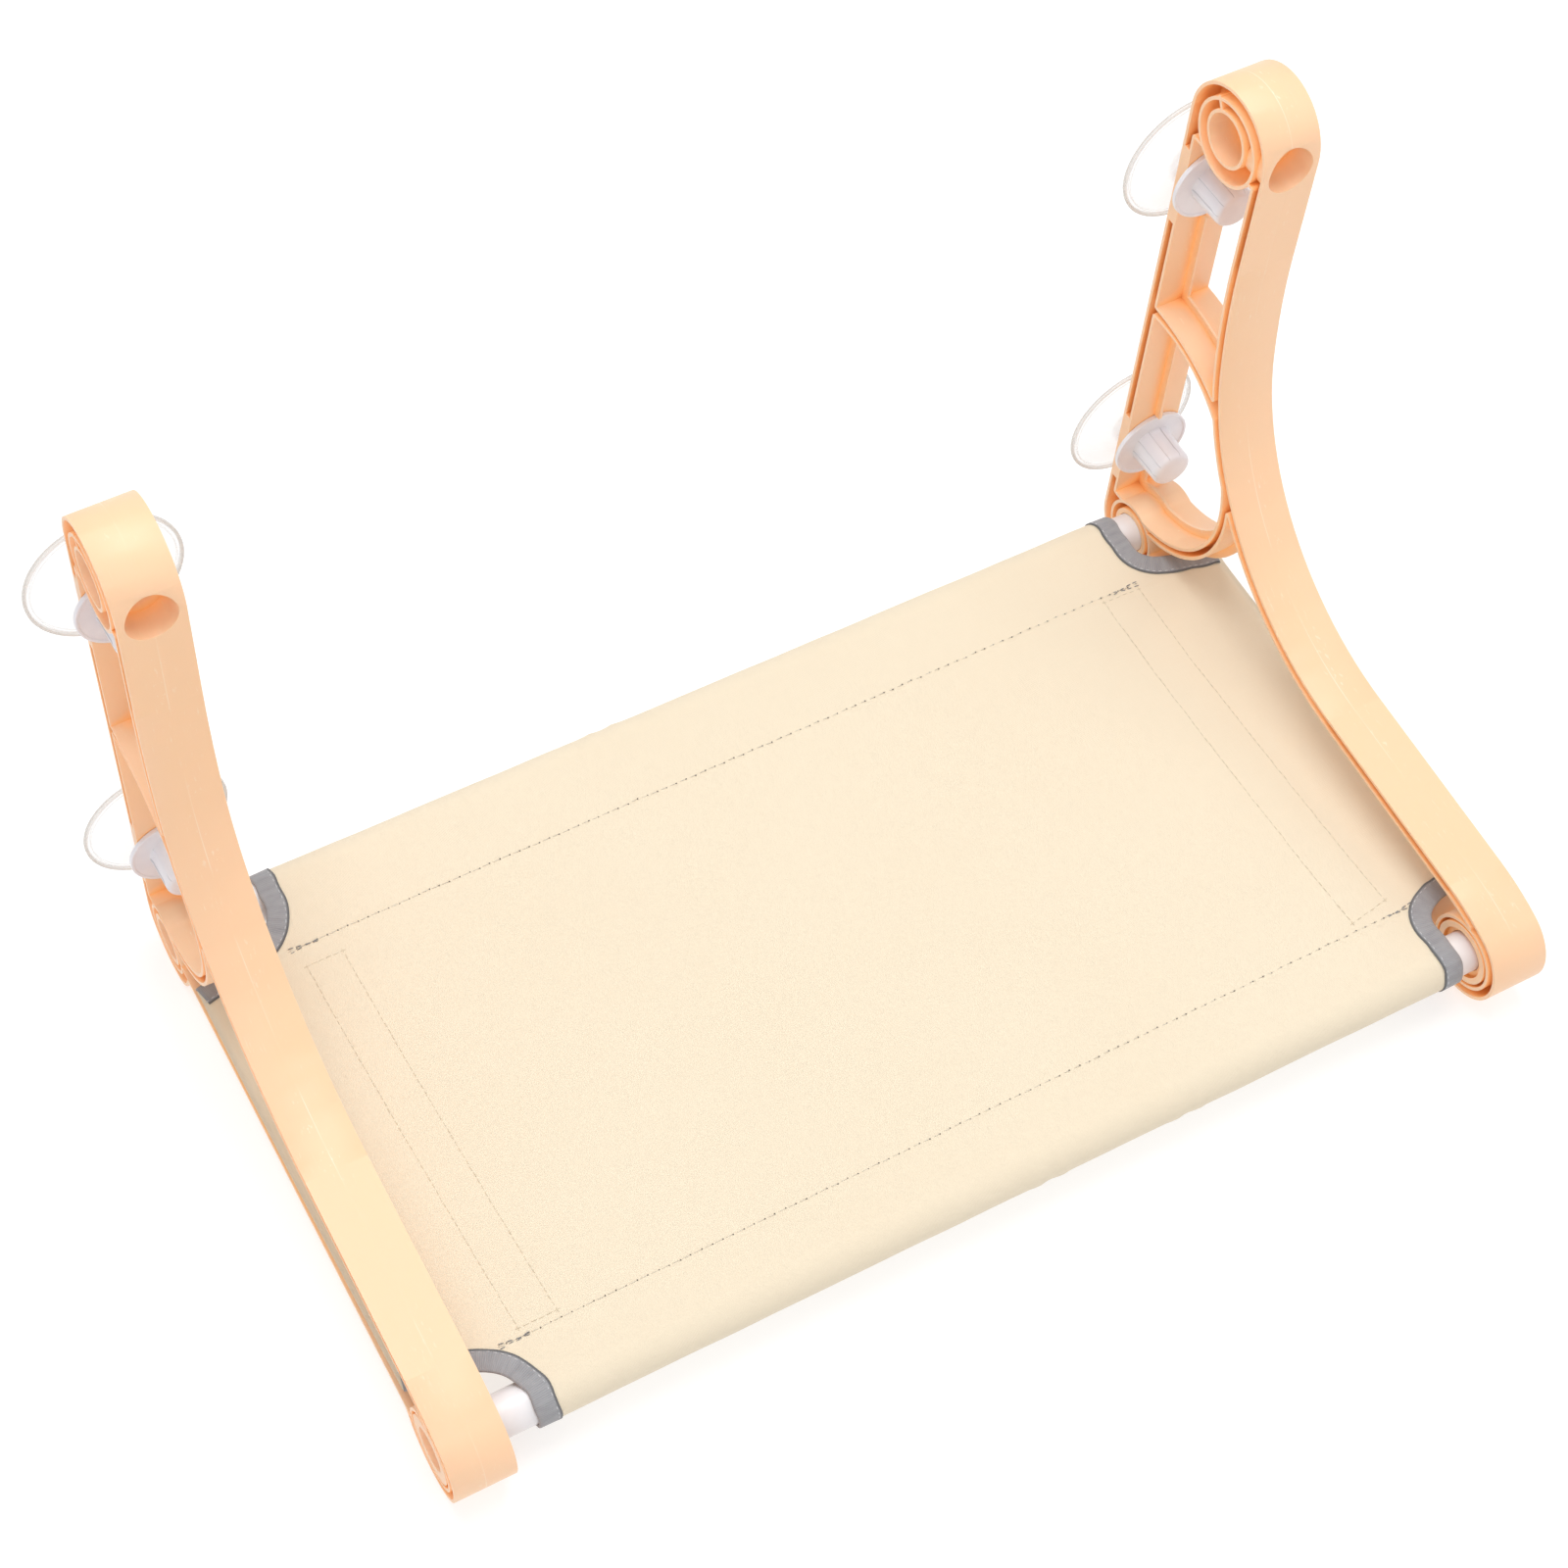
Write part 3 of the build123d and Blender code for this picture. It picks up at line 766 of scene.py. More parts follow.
# %% [markdown]
# ## Stiffening tapes
#
# The long stitched rectangles near both sides of the sheet hold down a band of webbing
# under it, which keeps the sides from curling. From above only its stitches show, and
# from below the webbing does.
# %% Making the webbing
webbing_thickness = 0.8 * MM
webbing_air = 0.1 * MM
webbing_drop = canvas_thickness / 2 + webbing_air + webbing_thickness / 2
seam_margin = 10.0 * MM
webbing_rows, webbing_columns = 90, 13
webbing = {}
for side_name in sides:
    low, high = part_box(f"{side_name}_stiffening_tape")
    x_places = np.linspace(low.x, high.x, webbing_columns)
    s_places = np.linspace(rear_seam_s + seam_margin, front_seam_s - seam_margin, webbing_rows)
    flat = [(x, s) for s in s_places for x in x_places]
    points = place(*np.array(flat).T, -webbing_drop)
    piece = grid_piece(f"{side_name}_webbing", points, webbing_rows, webbing_columns, flat)
    thicken(piece, webbing_thickness)
    webbing[f"{side_name}_stiffening_tape"] = piece
print("webbing:", sorted(webbing))

# %% Webbing finish
webbing_light = (0.86, 0.76, 0.60)
webbing_shade = (0.70, 0.58, 0.42)
webbing_pitch, webbing_depth = 1.1 * MM, 0.25 * MM


def webbing_finish():
    material, flat = new_finish("cream_webbing", cloth=True)
    height, woven, slub = weave_height(flat, webbing_pitch, webbing_depth)
    # Partly painted shade: the woven term darkens the colour between the threads; slub is the
    # yarn's own tone
    shade = (0.5 * woven + 0.4 * slub).step(0.0, 1.0)
    return close_finish(material, {
        "Base Color": shade.blend(webbing_shade, webbing_light),
        "Roughness": 0.85 + 0.1 * woven,
        "Normal": height.relief(),
        "Specular IOR Level": 0.2,
    })


paint(webbing_finish(), *webbing.values())

# %% [markdown]
# ## Stitches
#
# Hundreds of stitches follow a few lines, which is work for Geometry Nodes: the tree
# turns a line of edges into a curve, marks it off at the stitch pitch, and puts one small
# thread on each mark, turned along the line. Each stitch is an ellipsoid with few faces.
# Between two stitches the needle left a hole, and a second pass of the same tree,
# started half a pitch later, sets a small dark spot there: painted shade in place of the
# hole itself.
# %% Tools for Geometry Nodes


def new_tree(name, inputs):
    """A Geometry Nodes tree with these inputs, each of the kind that its value has."""
    tree = bpy.data.node_groups.new(name, "GeometryNodeTree")
    for way in ("INPUT", "OUTPUT"):
        tree.interface.new_socket("Geometry", in_out=way, socket_type="NodeSocketGeometry")
    for label, value in inputs.items():
        kind = {float: "Float", int: "Int"}.get(type(value), "Material")
        socket = tree.interface.new_socket(label, in_out="INPUT", socket_type="NodeSocket" + kind)
        if kind != "Material":
            socket.default_value = value
    source = tree.nodes.new("NodeGroupInput")
    wires = {socket.name: Wire(tree, socket) for socket in source.outputs if socket.name}
    return tree, wires


def end_tree(tree, wires, geometry):
    """Ends a tree: instances made real, the material set."""
    real = geometry.node("GeometryNodeRealizeInstances", {"Geometry": geometry})
    values = {"Geometry": real, "Material": wires["Material"]}
    painted = real.node("GeometryNodeSetMaterial", values)
    real.node("NodeGroupOutput", {"Geometry": painted})
    return tree


def grown(base, tree, name, values):
    """Runs a tree on an object and returns its result as a plain mesh piece."""
    modifier = base.modifiers.new(tree.name, "NODES")
    modifier.node_group = tree
    for label, value in values.items():
        modifier[tree.interface.items_tree[label].identifier] = value
    graph = bpy.context.evaluated_depsgraph_get()
    mesh = bpy.data.meshes.new_from_object(base.evaluated_get(graph), depsgraph=graph)
    base.modifiers.remove(modifier)
    bpy.data.objects.remove(base)
    mesh.name = name
    mesh.shade_smooth()
    return put(name, mesh)


print("tools ready: new_tree, end_tree, grown")

# %% The stitch tree


def stitch_tree():
    tree, wires = new_tree("stitches_on_lines", {
        "Pitch": 3.4 * MM, "Stitch Length": 2.5 * MM, "Thread Width": 0.55 * MM,
        "Start": 0.0, "Jitter": 0.1 * MM, "Seed": 3, "Material": None,
    })
    lines = wires["Geometry"].node("GeometryNodeMeshToCurve", {"Mesh": wires["Geometry"]})
    total = lines.node("GeometryNodeSplineLength")
    ends = {"Curve": lines, 4: wires["Start"], 5: total}
    trimmed = lines.node("GeometryNodeTrimCurve", ends, {"mode": "LENGTH"})
    steps = {"Curve": trimmed, "Length": wires["Pitch"]}
    marks = lines.node("GeometryNodeResampleCurve", steps, {"mode": "LENGTH"})
    bead = lines.node("GeometryNodeMeshUVSphere", {"Segments": 6, "Rings": 4, "Radius": 0.5})
    size = wires["Stitch Length"].join(wires["Thread Width"], wires["Thread Width"])
    thread = lines.node("GeometryNodeTransform", {"Geometry": bead, "Scale": size})
    tangent = lines.node("GeometryNodeInputTangent")
    turn = lines.node("FunctionNodeAlignRotationToVector", {"Vector": tangent}, {"axis": "X"})
    sway = {"Seed": wires["Seed"]}
    for index, way in enumerate((-1, 1)):
        sway[index] = (way * wires["Jitter"]).join(way * wires["Jitter"], way * wires["Jitter"])
    away = lines.node("FunctionNodeRandomValue", sway, {"data_type": "FLOAT_VECTOR"})
    moved = lines.node("GeometryNodeSetPosition", {"Geometry": marks, "Offset": away})
    instances = {"Points": moved, "Instance": thread, "Rotation": turn}
    return end_tree(tree, wires, lines.node("GeometryNodeInstanceOnPoints", instances))


stitches = stitch_tree()
print("stitch tree:", len(stitches.nodes), "nodes")

# %% [markdown]
# The stitch lines are drawn on the flat strip as well. Both long seams end in a few
# stitches back and forth, which lock the thread and stand out darker.
# %% Lines of stitching
thread_air, tape_thread_air = 0.12 * MM, 0.1 * MM
thread_lift = canvas_thickness / 2 + thread_air
line_step = 2.0 * MM


def on_cloth(start, end):
    """A line on the cloth between two flat places."""
    start, end = np.array(start), np.array(end)
    share = np.linspace(0, 1, max(2, int(np.linalg.norm(end - start) / line_step)))[:, None]
    return place(*(start + (end - start) * share).T, thread_lift)


def lines_object(name, lines):
    """An object of plain edges, one run of them for each line."""
    points = np.concatenate(lines)
    edges = []
    first = 0
    for line in lines:
        edges += [(first + i, first + i + 1) for i in range(len(line) - 1)]
        first += len(line)
    mesh = bpy.data.meshes.new(name)
    mesh.from_pydata([tuple(p) for p in points], edges, [])
    return put(name, mesh)


def on_sheet(spots):
    """Flat places of spots on the sheet, given as (x, y) in mm."""
    return [(x * MM, down(y * MM)) for x, y in spots]


# Each seam: its left and its right end
seam_ends = [((-231.0, -71.3), (229.0, -69.0)), ((-232.5, -292.2), (239.0, -288.0))]
lock_length = 12.0 * MM
lock_sway = 1.1 * MM
seam_lines = []
lock_lines = []
for ends in seam_ends:
    spots = on_sheet(ends)
    seam_lines.append(on_cloth(*spots))
    for (x, s), way in zip(spots, (1, -1)):
        back = x + way * lock_length
        lock_lines.append(on_cloth((x, s + lock_sway), (back, s)))
        lock_lines.append(on_cloth((x, s - lock_sway), (back, s + 0.5 * lock_sway)))
print("seams:", len(seam_lines), "lock lines:", len(lock_lines))

# %% Lines of the stitched rectangles
rectangles = [
    ((-228.0, -82.0), (-222.5, -288.0), (-204.0, -288.0), (-210.0, -82.0)),
    ((229.0, -72.0), (230.0, -280.0), (209.0, -284.0), (208.5, -72.0)),
]
rectangle_lines = []
for rectangle in rectangles:
    spots = on_sheet(rectangle)
    rectangle_lines += [on_cloth(*ends) for ends in zip(spots, spots[1:] + spots[:1])]
binding_lines = []
stitch_margin = 1.6 * MM
stitch_lift = tape_rest + tape_thickness / 2 + tape_thread_air
for side_name, row in notch_sizes:
    line, _, into = notch_line(side_name, row)
    binding_lines.append(place(*(line + into * (tape_lap - stitch_margin)).T, stitch_lift))
print("rectangle lines:", len(rectangle_lines), "binding lines:", len(binding_lines))

# %% Thread finish
twist_pitch, twist_height = 0.35 * MM, 0.03 * MM


def thread_finish(name, light, dark):
    """Twisted thread: a fine slanted wave over the stitch, and a little lint."""
    material, here = new_finish(name)
    x, y, z = here.split()
    twist = abs(((x + y + z) * (math.pi / twist_pitch)).sine())
    lint = here.cloud(1500.0)
    return close_finish(material, {
        # Partly painted shade: the twist term darkens the grooves between the plies; lint is the
        # thread's own tone
        "Base Color": (0.5 * twist + 0.5 * lint).step(0.0, 1.0).blend(dark, light),
        "Roughness": 0.6 + 0.25 * lint,
        "Normal": (twist * twist_height).relief(),
        "Sheen Weight": 0.15,
    })


seam_thread = thread_finish("greyish_cream_thread", (0.70, 0.64, 0.53), (0.54, 0.49, 0.41))
lock_thread = thread_finish("grey_thread", (0.34, 0.33, 0.32), (0.17, 0.165, 0.165))
cream_thread = thread_finish("cream_thread", (0.73, 0.64, 0.49), (0.60, 0.51, 0.37))
tape_thread = thread_finish("pale_thread", (0.72, 0.72, 0.74), (0.42, 0.42, 0.44))
# Painted shade: the dark beads at the needle holes stand in for the shade inside each hole
hole_shade = thread_finish("needle_hole", (0.24, 0.21, 0.18), (0.10, 0.09, 0.08))
print("thread finishes: 5")

# %% Sewing
# Each kind: its lines and thread, then in mm its pitch, stitch length, thread width, start
# and jitter
sewn = [
    ("seam_stitches", seam_lines, seam_thread, (5.2, 3.6, 0.42, 0.0, 0.1)),
    ("seam_needle_holes", seam_lines, hole_shade, (5.2, 0.9, 0.75, 2.6, 0.25)),
    ("seam_locks", lock_lines, lock_thread, (3.6, 3.0, 0.62, 0.0, 0.35)),
    ("rectangle_stitches", rectangle_lines, cream_thread, (3.6, 2.9, 0.42, 0.0, 0.12)),
    ("binding_stitches", binding_lines, tape_thread, (3.2, 2.1, 0.42, 0.0, 0.1)),
]
stitch_pieces = []
size_names = ("Pitch", "Stitch Length", "Thread Width", "Start", "Jitter")
for name, lines, material, sizes in sewn:
    values = {label: size * MM for label, size in zip(size_names, sizes)}
    values["Material"] = material
    stitch_pieces.append(grown(lines_object(name + "_lines", lines), stitches, name, values))
    print(name, len(stitch_pieces[-1].data.polygons), "faces")

# %% [markdown]
# ## Clamp nuts
#
# A nut is one white moulding: a thin round flange with a raised rim and a long knob with
# a well rounded end. Broad panels run round the knob for grip, each second one a little
# lower. The outline is turned plain, and a Geometry Nodes tree then presses these panels
# in by a rule: a wave round the axis, sharpened to a step and faded out at both ends.
# %% The panel tree
flange_radius = 20.0 * MM
knob_radius = 10.6 * MM
knob_length = 20.0 * MM
flange_thickness = 1.8 * MM
panel_pairs, panel_step = 5.0, 0.6 * MM
foot_fade, head_fade = 0.6 * MM, 2.0 * MM


def back_centre(node):
    """The middle of a node's face on the side of the pane."""
    low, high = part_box(node)
    return (low.x + high.x) / 2, high.y, (low.z + high.z) / 2


stations = [f"{side_name}_{level}" for side_name in sides for level in ("lower", "upper")]
station_x, _, station_z = back_centre("right_upper_clamp_nut")


def panel_tree():
    tree, wires = new_tree("panels_round_a_knob", {
        "Middle X": 0.0, "Middle Z": 0.0, "Panel Pairs": panel_pairs,
        "Step Height": panel_step, "Foot Y": 0.0, "Head Y": 0.0, "Material": None,
    })
    here = wires["Geometry"].node("GeometryNodeInputPosition")
    x, y, z = here.split()
    across = x - wires["Middle X"]
    up = z - wires["Middle Z"]
    radius = (across * across + up * up).root()
    angle = here.math("ARCTAN2", up, across)
    low_panel = (angle * wires["Panel Pairs"]).sine().step(-0.07, 0.07)
    past_bore = radius.step(0.8 * knob_radius, 0.95 * knob_radius)
    before_rim = 1 - radius.step(1.04 * knob_radius, 1.1 * knob_radius)
    past_foot = (wires["Foot Y"] - y).step(0.0, foot_fade)
    before_head = (y - wires["Head Y"]).step(0.0, head_fade)
    press = low_panel * past_bore * before_rim * past_foot * before_head * wires["Step Height"]
    share = press / radius
    inwards = (0 - across * share).join(0.0, 0 - up * share)
    values = {"Geometry": wires["Geometry"], "Offset": inwards}
    return end_tree(tree, wires, here.node("GeometryNodeSetPosition", values))


panels = panel_tree()
print("panel tree:", len(panels.nodes), "nodes")

# %% White plastic finish
panel_shadow = (0.30, 0.29, 0.32)
grain_height, flow_height, milk_depth = 0.006 * MM, 0.02 * MM, 1.2 * MM


def from_station(here):
    """Places across and up from the axis of the nearest nut and cup, and the distance from
    it. One rule serves all four stations, because they stand at like places."""
    x, _, z = here.split()
    across, up = abs(x) - station_x, abs(z) - station_z
    return across, up, (across * across + up * up).root()


def panel_edges(here):
    """Thin lines where the knob's panels step down, by the same rule as the panel tree."""
    across, up, radius = from_station(here)
    wave = abs((here.math("ARCTAN2", up, across) * panel_pairs).sine())
    on_side = radius.step(0.84 * knob_radius, 0.93 * knob_radius) - radius.step(
        1.01 * knob_radius, 1.04 * knob_radius
    )
    return (1 - wave.step(0.05, 0.16)) * on_side


def white_plastic(name, light, shade, roughness, line=0.0):
    """Milky moulded plastic, with flow marks and a fine grain."""
    material, here = new_finish(name)
    flow = here.stretch((1.0, 0.35, 1.0)).cloud(90.0, 3.0)
    grain = here.cloud(1400.0)
    colour = flow.step(0.2, 0.8).blend(shade, light)
    if line:
        colour = (line * panel_edges(here)).blend(colour, panel_shadow)
    return close_finish(material, {
        "Base Color": colour,
        "Roughness": roughness + 0.1 * flow,
        "Normal": (grain * grain_height + flow * flow_height).relief(),
        "Subsurface Weight": 0.05,
        "Subsurface Radius": (1.0, 0.9, 0.9),
        "Subsurface Scale": milk_depth,
        "Coat Weight": 0.1,
    })


nut_material = white_plastic(
    "milky_nut_plastic", (0.82, 0.805, 0.84), (0.76, 0.74, 0.785), 0.3, line=0.45
)
tube_material = white_plastic("white_tube_plastic", (0.84, 0.84, 0.86), (0.78, 0.78, 0.805), 0.3)
stud_material = white_plastic("stud_plastic", (0.82, 0.82, 0.85), (0.74, 0.74, 0.78), 0.35)
print("white plastics: 3")

# %% Making the nuts
knob_round = 4.6 * MM
nut_bore = 4.1 * MM
bore_depth = 15.0 * MM
rim_width = 1.3 * MM
rim_height = 0.55 * MM
nut_edge, flange_edge, rim_edge, foot_edge = 0.3 * MM, 0.4 * MM, 0.5 * MM, 0.35 * MM
nut_turns, round_steps = 200, 7
knob_end = flange_thickness + knob_length
nut_outline = rounded([
    (0.0, bore_depth, 0.0),
    (nut_bore, bore_depth, nut_edge),
    (nut_bore, 0.0, nut_edge),
    (flange_radius, 0.0, flange_edge),
    (flange_radius, flange_thickness + rim_height, rim_edge),
    (flange_radius - rim_width, flange_thickness + rim_height, foot_edge),
    (flange_radius - 1.3 * rim_width, flange_thickness, nut_edge),
    (1.02 * knob_radius, flange_thickness, foot_edge),
    (knob_radius, flange_thickness + 0.1 * knob_length, 0.0),
    (0.985 * knob_radius, flange_thickness + 0.45 * knob_length, 0.0),
    (0.97 * knob_radius, knob_end - 1.4 * knob_round, 0.0),
    (0.96 * knob_radius, knob_end, knob_round),
    (0.0, knob_end, 0.0),
], steps=round_steps)
nuts = {}
for station in stations:
    centre = back_centre(f"{station}_clamp_nut")
    blank = turned(f"{station}_nut_blank", nut_outline, centre, nut_turns)
    nuts[station] = grown(blank, panels, f"{station}_ribbed_nut", {
        "Middle X": centre[0],
        "Middle Z": centre[2],
        "Foot Y": centre[1] - flange_thickness,
        "Head Y": centre[1] - knob_end + 0.9 * knob_round,
        "Material": nut_material,
    })
print("nuts:", sorted(nuts), len(nuts["left_lower"].data.polygons), "faces each")

# %% [markdown]
# ## Suction cups and their studs
#
# A cup is a thin disc of soft clear vinyl, dished on the side of the pane, with a hub in
# which the head of a threaded stud is moulded. Turning gives all of it. The thread is a
# real helix, because the stud's radius rises and falls with depth and angle together.
# %% Making the cups
cup_radius = 35.0 * MM
cup_rim = 1.6 * MM
cup_lip = 1.4 * MM
cup_hollow = 4.0 * MM
hub_radius = 11.0 * MM
neck_radius = 14.0 * MM
shoulder = 7.6 * MM
hub_front = 10.9 * MM
band, band_foot, foot_rise = 1.8 * MM, 2.6 * MM, 0.1 * MM
skirt_bow = 1.25
cup_turns, hollow_count, skirt_count = 128, 15, 10
lip_edge, band_edge, hub_edge, hub_foot = 0.4 * MM, 0.5 * MM, 0.6 * MM, 0.8 * MM
lip_radius = cup_radius - cup_lip
hollow = [
    (share * lip_radius, cup_hollow * (1 - share**2)) for share in np.linspace(0, 1, hollow_count)
]
rim = rounded([
    (lip_radius, 0.0, 0.0),
    (cup_radius, 0.0, lip_edge),
    (cup_radius, cup_rim, hub_edge),
    (cup_radius - band, cup_rim, band_edge),
    (cup_radius - band_foot, cup_rim + foot_rise, band_edge),
    (0.0, 3.2 * cup_rim, 0.0),
])[1:-1]
outer, foot = rim[-1]
skirt = [
    (outer + (neck_radius - outer) * share, foot + (shoulder - foot) * share**skirt_bow)
    for share in np.linspace(0, 1, skirt_count)[1:]
]
hub = rounded([
    (neck_radius, shoulder, 0.0),
    (hub_radius, shoulder, hub_foot),
    (hub_radius, hub_front, hub_edge),
    (0.0, hub_front, 0.0),
])
cup_outline = np.concatenate([hollow, rim, skirt, hub[1:]])
cups = {}
for station in stations:
    centre = back_centre(f"{station}_suction_cup")
    cups[station] = turned(f"{station}_clear_cup", cup_outline, centre, cup_turns)
print("cups:", sorted(cups), len(cups["left_lower"].data.polygons), "faces each")

# %% Making the studs
stud_radius = 4.0 * MM
stud_head_radius = 7.5 * MM
stud_head_back = 5.25 * MM
stud_head_front = 7.15 * MM
thread_start = 11.5 * MM
screw_pitch = 2.0 * MM
thread_depth = 0.45 * MM
head_edge, neck_edge, tip_bevel, shaft_step = 0.5 * MM, 0.4 * MM, 0.6 * MM, 0.25 * MM
stud_turns = 40


def thread_wave(across, depth, angle):
    """The groove of a helical thread, on the shaft past the hub."""
    if across < 0.9 * stud_radius or across > 1.1 * stud_radius or depth < thread_start:
        return 0.0
    phase = (depth / screw_pitch - angle / (2 * math.pi)) % 1.0
    return -thread_depth * min(1.0, 1.6 * abs(2 * phase - 1))


studs = {}
for station in stations:
    x, _, z = back_centre(f"{station}_stud")
    pane_y = back_centre(f"{station}_suction_cup")[1]
    tip = pane_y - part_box(f"{station}_stud")[0].y
    head = rounded([
        (0.0, stud_head_back, 0.0),
        (stud_head_radius, stud_head_back, head_edge),
        (stud_head_radius, stud_head_front, head_edge),
        (stud_radius, stud_head_front, neck_edge),
        (stud_radius, thread_start, 0.0),
    ])
    depths = np.arange(thread_start, tip - tip_bevel, shaft_step)
    shaft = [(stud_radius, depth) for depth in depths]
    outline = np.concatenate([head[:-1], shaft, [(0.88 * stud_radius, tip), (0.0, tip)]])
    name = f"{station}_threaded_stud"
    studs[station] = turned(name, outline, (x, pane_y, z), stud_turns, wobble=thread_wave)
print("studs:", sorted(studs), len(studs["left_lower"].data.polygons), "faces each")

# %% [markdown]
# Clear vinyl lets nearly all light through. Only its rim, its hub and its glancing edges
# show, in a warm grey. So the finish is a light glossy shader that is nearly transparent,
# and the Alpha grows on the rim, on the hub and where the surface is seen edge-on. The
# rim's darker warm grey and a thin grey line just inside it are painted shade, in place
# of the light that the thick rim bends away.
# %% Clear vinyl finish
# Each band is a soft step that starts and ends so far inside the cup's edge
rim_band = (2.0 * MM, 1.2 * MM)
line_start, line_end = (3.6 * MM, 3.2 * MM), (3.0 * MM, 2.6 * MM)
hub_blur, smear_height = 0.5 * MM, 0.03 * MM


def vinyl_finish():
    material, here = new_finish("clear_vinyl")
    _, _, radius = from_station(here)
    bands = (rim_band, line_start, line_end)
    # Painted shade: the rim band and a thin line inside it are made more opaque, and the rim is
    # painted a darker warm grey
    rim, line_in, line_out = (radius.step(cup_radius - a, cup_radius - b) for a, b in bands)
    painted_rim_line = line_in * (1 - line_out)
    hub_share = 1 - radius.step(hub_radius - hub_blur, neck_radius)
    glance = here.node("ShaderNodeLayerWeight", {"Blend": 0.35}, out=1)
    smear = here.stretch((1.0, 1.0, 2.5)).cloud(240.0)
    dust = here.cloud(1300.0).step(0.72, 0.8)
    body = 0.07 + 0.35 * rim + 0.2 * painted_rim_line + 0.16 * hub_share + 0.05 * smear + 0.1 * dust
    edge_on = glance * glance * 0.35
    return close_finish(material, {
        "Base Color": rim.blend((0.74, 0.76, 0.77), (0.60, 0.56, 0.51)),
        "Alpha": body + edge_on,
        "Roughness": 0.12 + 0.15 * smear,
        "Normal": (smear * smear_height).relief(),
        "IOR": 1.5,
        "Specular IOR Level": 0.8,
    })


paint(vinyl_finish(), *cups.values())
paint(stud_material, *studs.values())

# %% [markdown]
# ## Tubes
#
# The two tubes are plain extruded plastic. Their walls show only in the notches, but
# they are turned as real tubes, open from end to end, with softened rims.
# %% Making the tubes
tube_wall = 1.2 * MM
rim_round = 0.35 * MM
seam_start = 2 * MM
tubes = {}
for node in ("rear_tube", "front_tube"):
    low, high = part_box(node)
    wall = rounded([
        (tube_radius, low.x + seam_start, 0.0),
        (tube_radius, high.x, rim_round),
        (tube_radius - tube_wall, high.x, rim_round),
        (tube_radius - tube_wall, low.x, rim_round),
        (tube_radius, low.x, rim_round),
        (tube_radius, low.x + seam_start / 2, 0.0),
    ])
    centre = (0.0, *tube_axis(node)[0])
    tubes[node] = turned(f"{node}_wall", wall, centre, closed=True, along_x=True)
paint(tube_material, *tubes.values())

# %% [markdown]
# ## Brackets
#
# The frame's own brackets stay. Real moulded edges are slightly rounded and shine as
# thin lines, so a Bevel modifier rounds them, after a Weld that joins the frame's loose
# triangles. The plastic is satin polypropylene, and its thin walls let light through. An
# Ambient Occlusion node finds the hollows and the narrow channels. Their colour is
# painted shade: a stronger orange in the hollows and a deep orange in the channels, in
# place of the light that bounces between the walls. The hollows also glow a little, a
# painted light in place of the light that comes through the walls. The finish adds the
# faint line that the web leaves down the middle of each ribbon, pale scuffs and flecks
# beside it, and a fine grain.
# %% Bracket finish
apricot = (0.93, 0.595, 0.365)
apricot_pale = (1.0, 0.84, 0.70)
# Painted light, the next three: the hollows' stronger orange, the channels' deep orange shade and
# the hollows' faint glow
painted_hollow_orange = (0.97, 0.52, 0.22)
painted_channel_shade = (0.72, 0.22, 0.025)
painted_wall_glow = (0.17, 0.08, 0.02)
recess_reach = 9.0 * MM
sink_reach, sink_depth, scuff_height, glow_depth = 1.6 * MM, 0.04 * MM, 0.01 * MM, 1.8 * MM
line_band, fleck_band = (0.08 * MM, 0.3 * MM), (2.0 * MM, 9.0 * MM)
bracket_middle = back_centre("right_bracket")[0]


def bracket_finish():
    material, here = new_finish("apricot_polypropylene")
    from_web = abs(abs(here.split()[0]) - bracket_middle)
    sink = 1 - from_web.step(0.0, sink_reach)
    mould_line = 1 - from_web.step(*line_band)
    broken = here.stretch((1.0, 0.4, 0.4)).cloud(70.0, 3.0).step(0.4, 0.7)
    streaks = here.stretch((6.0, 0.7, 0.7)).cloud(160.0, 4.0, 0.7).step(0.6, 0.75)
    patches = here.cloud(26.0).step(0.46, 0.7)
    flecks = here.stretch((1.0, 0.4, 0.4)).cloud(620.0).step(0.62, 0.7)
    scuff = streaks * patches + 0.6 * flecks * broken * (1 - from_web.step(*fleck_band))
    tone = here.cloud(14.0)
    grain = here.cloud(1800.0)
    pale = 0.7 * scuff + 0.6 * mould_line * broken + 0.055 * tone
    reach = {"Distance": recess_reach}
    open_air = here.node("ShaderNodeAmbientOcclusion", reach, {"samples": 8}, out=1)
    # Painted shade: the hollows and channels that the AO node finds get a deeper orange colour
    hollow = 1 - open_air.step(0.4, 0.9)
    channel = 0.95 * (1 - open_air.step(0.14, 0.52))
    hollow_shaded_colour = (0.8 * hollow).blend(pale.blend(apricot, apricot_pale), painted_hollow_orange)
    height = grain * grain_height - sink * sink_depth + scuff * scuff_height
    return close_finish(material, {
        "Base Color": channel.blend(hollow_shaded_colour, painted_channel_shade),
        "Roughness": 0.36 + 0.2 * scuff + 0.08 * tone,
        "Normal": height.relief(),
        "Subsurface Weight": 0.12,
        "Subsurface Radius": (1.0, 0.55, 0.3),
        "Subsurface Scale": glow_depth,
        # Painted light: the hollows glow a faint orange, less in the channels
        "Emission Color": (hollow * (1 - 0.85 * channel)).blend((0.0, 0.0, 0.0), painted_wall_glow),
        "Emission Strength": 1.0,
        "Specular IOR Level": 0.45,
    })


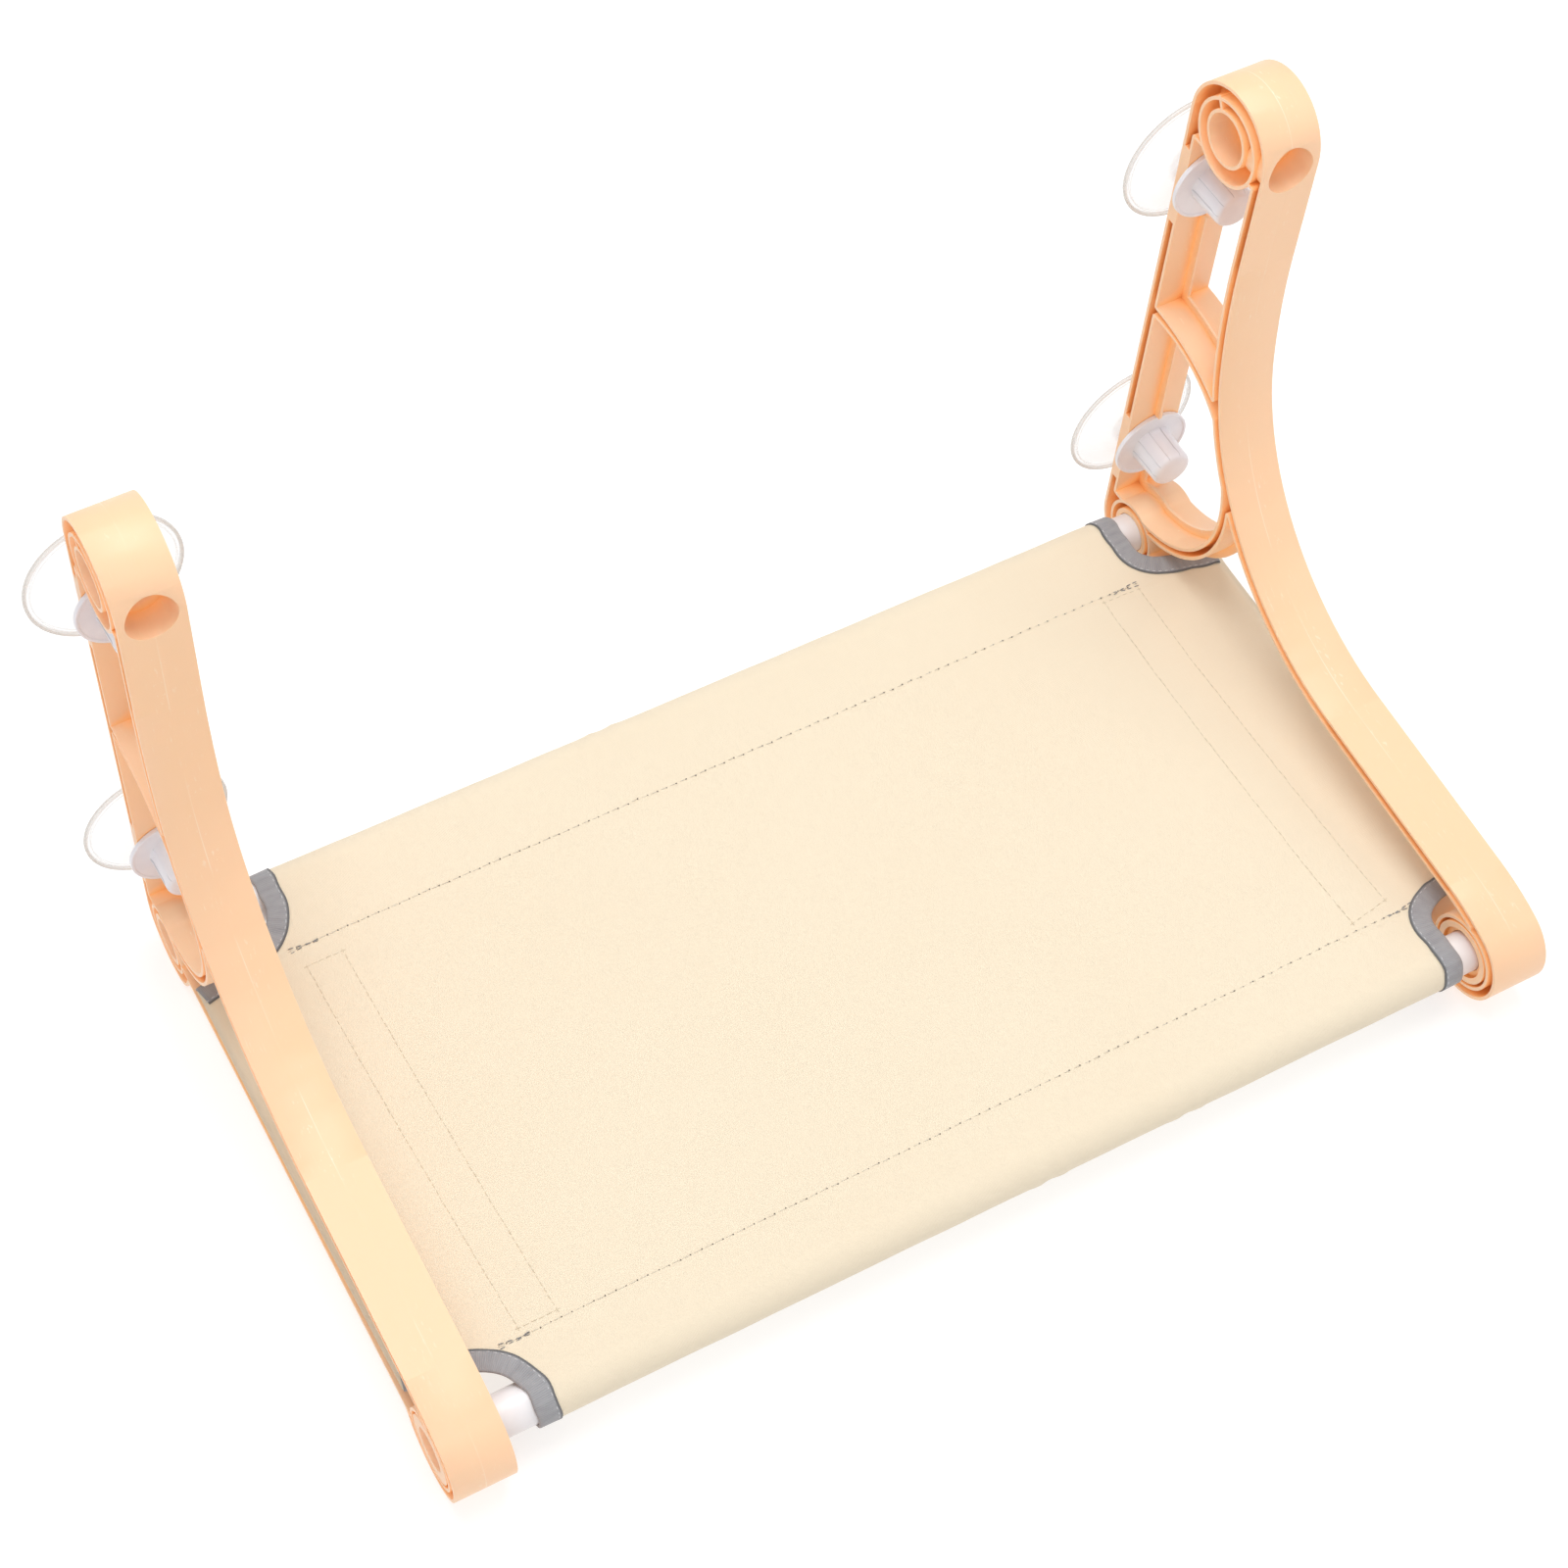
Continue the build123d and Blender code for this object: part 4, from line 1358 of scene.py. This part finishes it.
# %% Dressing the brackets
bracket_material = bracket_finish()
edge_round, edge_angle, edge_segments = 0.3 * MM, 38, 2
for side_name in sides:
    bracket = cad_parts[f"{side_name}_bracket"]
    bracket.data.materials.clear()
    paint(bracket_material, bracket)
    weld = bracket.modifiers.new("weld", "WELD")
    weld.merge_threshold = merge_distance
    soft = bracket.modifiers.new("edges", "BEVEL")
    soft.width = edge_round
    soft.segments = edge_segments
    soft.limit_method = "ANGLE"
    soft.angle_limit = math.radians(edge_angle)
    soft.harden_normals = True

# %% [markdown]
# ## What rides on what
#
# The cloth, the tubes and the brackets are one body, because nothing in them moves. Each
# cup turns in its pad with its stud, and each nut spins on its own stud.
# %% Riding on the frame


def stand_for(piece, node, body):
    """The piece takes a node's place and rides on its body."""
    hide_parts(node)
    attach(piece, body)


stand_for(canvas, "sling", "frame")
by_slot = {"binding_tape": bindings, "sewn_tape": webbing, "tube_plastic": tubes}
for slot, pieces in by_slot.items():
    for node, piece in pieces.items():
        stand_for(piece, node, "frame")
for piece in stitch_pieces:
    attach(piece, "frame")
for station in stations:
    stand_for(nuts[station], f"{station}_clamp_nut", f"{station}_nut")
    stand_for(cups[station], f"{station}_suction_cup", f"{station}_cup")
    stand_for(studs[station], f"{station}_stud", f"{station}_cup")

# %% [markdown]
# ## Camera, floor and light
#
# The camera stands where the photograph's did, above and left of the hammock's front. The
# floor is a plain pale sheet just under the lowest sockets, lit a little from within like
# a photographer's table, so that shadows stay faint. The room is bright and even, with a
# large soft light straight above, which makes level faces the palest, a weak one over
# the camera and a weak one from the right.
# %% Camera
camera_place = (-439.05 * MM, -778.78 * MM, 1089.74 * MM)
camera_turn_degrees = (33.308, -0.8194, -27.6712)
camera_lens, camera_sensor = 70.82, 36
camera_shift = (0.0890, 0.0188)
camera_data = bpy.data.cameras.new("photograph_camera")
camera_data.lens = camera_lens
camera_data.sensor_width = camera_sensor
camera_data.shift_x, camera_data.shift_y = camera_shift
camera = put("photograph_camera", camera_data)
camera.location = camera_place
camera.rotation_euler = [math.radians(turn) for turn in camera_turn_degrees]
bpy.context.scene.camera = camera
print("camera at", camera_place)

# %% Floor
floor_half = 3.0
floor_gap = 0.2 * MM
floor_glow = 0.62
floor_z = cad_low.z - floor_gap
floor_ends = (-floor_half, floor_half)
floor = grid_piece("floor", [(x, y, floor_z) for y in floor_ends for x in floor_ends], 2, 2)
floor_material, floor_here = new_finish("pale_floor")
close_finish(floor_material, {
    "Base Color": floor_here.cloud(3.0).blend((0.44, 0.44, 0.44), (0.46, 0.46, 0.46)),
    "Roughness": 0.8,
    "Specular IOR Level": 0.1,
    "Emission Color": (1.0, 1.0, 1.0, 1),
    "Emission Strength": floor_glow,
})
paint(floor_material, floor)
floor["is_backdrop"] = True
print("floor at z =", round(floor_z, 4))

# %% Light
room_strength = 0.62
# Each light: its name, its place and size in metres, and its power in watts
soft_lights = [
    ("overhead", (0.1, 0.3, 2.4), 2.0, 38.0),
    ("over_camera", (-0.9, -1.5, 2.0), 1.8, 11.0),
    ("from_right", (1.9, -0.5, 1.4), 1.5, 6.0),
]
aim = np.array([0.0, -0.17, 0.0])
world = bpy.data.worlds.new("bright_room")
world.use_nodes = True
world.node_tree.nodes.clear()
room = Wire(world.node_tree)
sky = room.node("ShaderNodeBackground", {"Color": (1.0, 1.0, 1.0, 1), "Strength": room_strength})
room.node("ShaderNodeOutputWorld", {"Surface": sky})
bpy.context.scene.world = world
for name, spot, size, power in soft_lights:
    data = bpy.data.lights.new(name, "AREA")
    data.shape = "DISK"
    data.size = size
    data.energy = power
    lamp = put(name, data)
    lamp.location = spot
    lamp.rotation_euler = Vector(aim - np.array(spot)).to_track_quat("-Z", "Y").to_euler()
bpy.context.scene.view_settings.view_transform = "Standard"
print("lights:", len(soft_lights))

# %% Size and finish
low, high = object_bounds()
print("grown by, in mm:", [round((b - a) / MM, 2) for a, b in zip(cad_high, high)])
